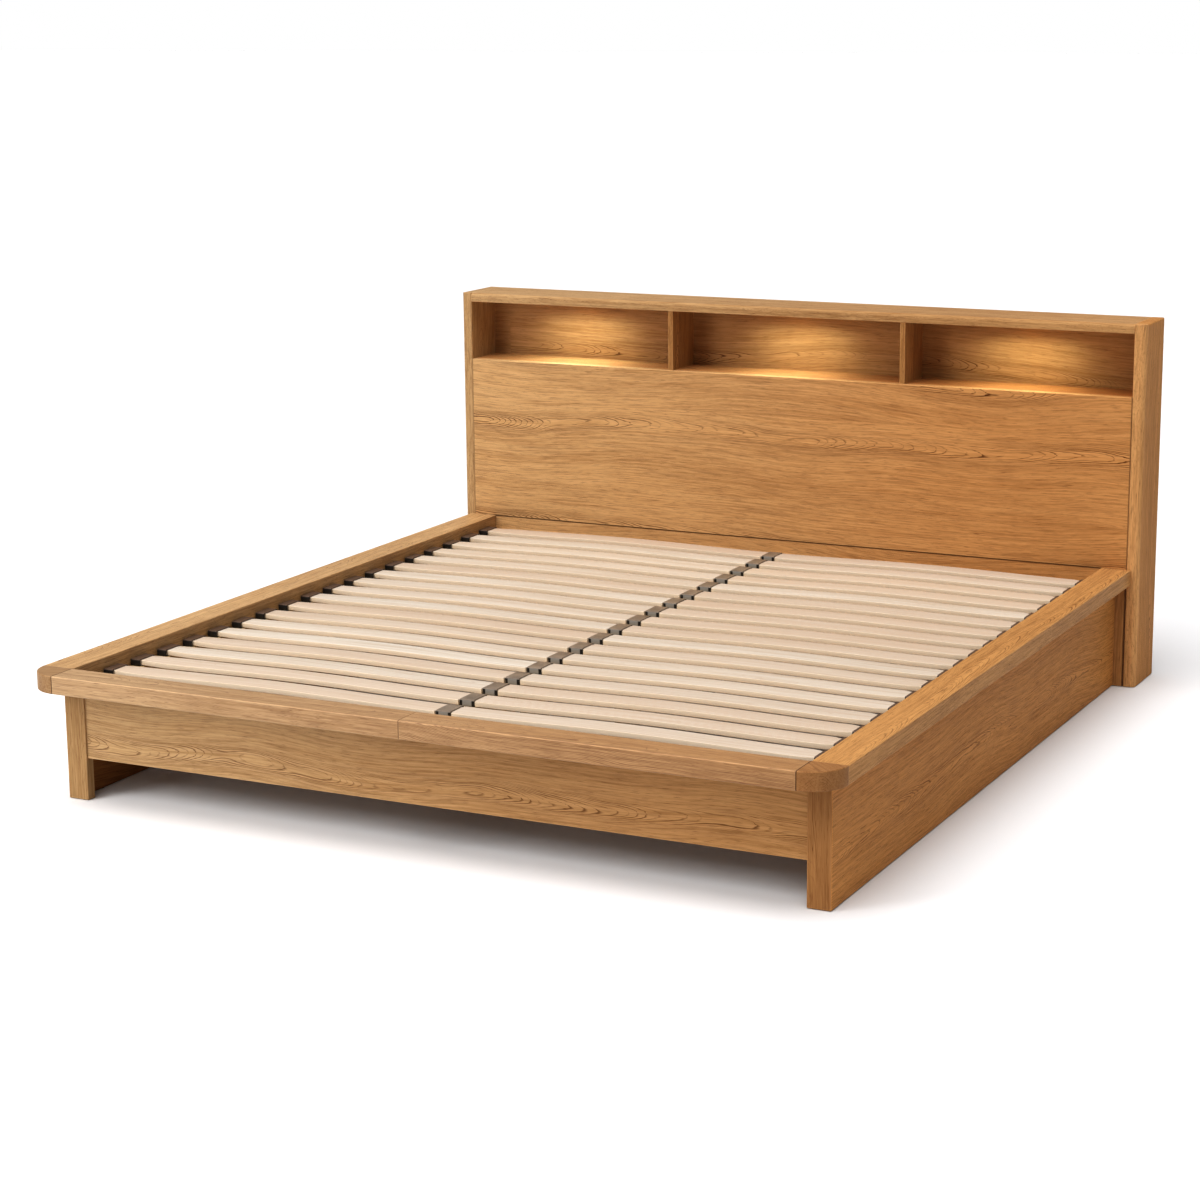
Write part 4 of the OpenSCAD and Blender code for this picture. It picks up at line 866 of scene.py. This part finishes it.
def screw_spots():
    """A point on each screw's head, with the way it looks, its head's radius and its length."""
    loose = bmesh.new()
    loose.from_mesh(solids["screws"].data)
    bmesh.ops.remove_doubles(loose, verts=loose.verts, dist=SAME_SPOT)
    left, spots = set(loose.verts), []
    while left:
        points, edge = [], [left.pop()]
        while edge:
            vert = edge.pop()
            points.append(vert.co.copy())
            for line in vert.link_edges:
                other = line.other_vert(vert)
                if other in left:
                    left.remove(other)
                    edge.append(other)
        low = Vector(min(p[i] for p in points) for i in range(3))
        high = Vector(max(p[i] for p in points) for i in range(3))
        axis = max(range(3), key=lambda i: high[i] - low[i])
        across = [i for i in range(3) if i != axis]
        middle = (low + high) / 2

        def girth(end):
            """How far the points at one end stand from the screw's axis."""
            spread = [p - middle for p in points if abs(p[axis] - end) < SAME_END]
            return max(sum(d[i] ** 2 for i in across) ** 0.5 for d in spread)

        head, out = (high, 1) if girth(high[axis]) > girth(low[axis]) else (low, -1)
        spot, aim = middle.copy(), Vector((0, 0, 0))
        spot[axis], aim[axis] = head[axis], out
        radius = max(high[i] - low[i] for i in across) / 2
        spots.append((spot, aim, radius, high[axis] - low[axis]))
    loose.free()
    spots.sort(key=lambda spot: tuple(round(c, 5) for c in spot[0]))
    mesh = bpy.data.meshes.new("screw_spots")
    mesh.from_pydata([spot[0] for spot in spots], [], [])
    for name, kind, field, values in (
            ("aim", "FLOAT_VECTOR", "vector", [c for spot in spots for c in spot[1]]),
            ("head", "FLOAT", "value", [spot[2] for spot in spots]),
            ("long", "FLOAT", "value", [spot[3] for spot in spots])):
        mesh.attributes.new(name, kind, "POINT").data.foreach_set(field, values)
    return mesh


def screw_head():
    """A low round head of radius 1 with a cross recess; its face looks along +Z."""
    quarter = 2 * pi / CROSS_ARMS
    angles = [2 * pi / HEAD_SIDES * (i + 0.5) for i in range(HEAD_SIDES)]
    off_axis = [abs((a + quarter / 2) % quarter - quarter / 2) for a in angles]
    cross = [min(0.60 / cos(a), 0.13 / sin(a)) for a in off_axis]
    rim = [1] * HEAD_SIDES
    return closed_shell("screw_head", [
        [(r * cos(a), r * sin(a), z) for r, a in zip(radii, angles)] for radii, z in (
            (rim, -0.26), (rim, -0.07), ([0.9] * HEAD_SIDES, 0), (cross, 0),
            ([r * 0.6 for r in cross], -0.17))])


def driven_screws():
    """Screws on points that carry their direction, their head's radius and their length."""
    tree, given, result = new_group("driven_screws", "GeometryNodeTree", {
        "Geometry": "Geometry", "Head": "Object", "Shank Share": 0.5, "Sunk Share": 0.2,
        "Finish": "Material"}, {"Geometry": "Geometry"})
    points = put(tree, "GeometryNodeMeshToPoints", {0: given["Geometry"]}).outputs[0]
    aim, head, long = (
        put(tree, "GeometryNodeInputNamedAttribute", {"Name": name}, data_type=kind).outputs[0]
        for name, kind in (("aim", "FLOAT_VECTOR"), ("head", "FLOAT"), ("long", "FLOAT")))
    turned = put(tree, "FunctionNodeAlignRotationToVector", {"Vector": aim}, axis="Z").outputs[0]
    cap = put(tree, "GeometryNodeObjectInfo", {"Object": given["Head"]}).outputs["Geometry"]
    shank = put(tree, "GeometryNodeMeshCylinder", {"Vertices": 14, "Radius": 1.0, "Depth": 1.0})
    hung = put(tree, "GeometryNodeTransform", {0: shank.outputs[0], "Translation": (0, 0, -0.5)})
    thick = calc(tree, "MULTIPLY", head, given["Shank Share"])
    inset = calc(tree, "MULTIPLY", head, given["Sunk Share"])
    sunk = put(tree, "ShaderNodeVectorMath", {
        0: aim, "Scale": calc(tree, "MULTIPLY", inset, -1.0)}, operation="SCALE")
    lower = put(tree, "GeometryNodeSetPosition", {"Geometry": points, "Offset": sunk.outputs[0]})
    depth = calc(tree, "SUBTRACT", long, inset)
    both = put(tree, "GeometryNodeJoinGeometry")
    for spots, shape, scale in (
            (points, cap, vector(tree, head, head, head)),
            (lower.outputs[0], hung.outputs[0], vector(tree, thick, thick, depth))):
        made = put(tree, "GeometryNodeInstanceOnPoints", {
            "Points": spots, "Rotation": turned, "Instance": shape, "Scale": scale})
        tree.links.new(made.outputs[0], both.inputs[0])
    hand_out(tree, given, result, both.outputs[0])
    return tree


ZINC = plated("zinc", tint(198, 200, 204), 0.38, 260.0)
for node in ("rim_plates", "beam_hangers", "corner_brackets"):
    dress(node, ZINC)
screws = crisp(bake("cross_head_screws", driven_screws(), {
    "Head": screw_head(), "Finish": ZINC}, screw_spots()), 30)
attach(screws, "bed")
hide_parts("screws")
dress("level_inserts", plated("brass", tint(214, 178, 104), 0.3, 90.0))
for number in (1, 2, 3):
    dress("level_foot_%d" % number, moulded(
        "foot_black_%d" % number, tint(52, 50, 48), 500.0, 0.00015, 0.5))
for node in ("headboard_dowels", "rim_dowels"):
    wooden(node, "x", "y", 50, PINE, rub_and_highlight=0.0)

# ------------------------------------------------------------------------------ felt pads
# Brown discs of pressed wool, glued under every board that reaches the floor, so that the
# boards' ends stay clear of it.


def felted():
    """Pressed wool: tangled pale and dark hairs, no gloss and a soft sheen."""
    finish, tree, body, place = new_finish("felt_brown")
    bend = put(tree, "ShaderNodeTexNoise", {"Vector": place, "Scale": 240.0, "Detail": 2.0})
    curled = put(tree, "ShaderNodeVectorMath", {
        0: bend.outputs["Color"], 1: (0.004, 0.004, 0.004), 2: place},
        operation="MULTIPLY_ADD").outputs[0]
    hair = calc(tree, "MAXIMUM", cloud(tree, curled, (300.0, 2600.0, 2600.0), 2.0, 0.6),
                cloud(tree, curled, (2600.0, 300.0, 2600.0), 2.0, 0.6))
    feed(tree, body, {
        "Base Color": blend(tree, ramp(tree, hair, 0.45, 0.75), tint(92, 82, 72),
                            tint(142, 130, 116)),
        "Roughness": 1.0, "Specular IOR Level": 0.1, "Sheen Weight": 0.4,
        "Normal": relief(tree, hair, 0.8, 0.0006)})
    return finish


dress("felt_pads", felted())
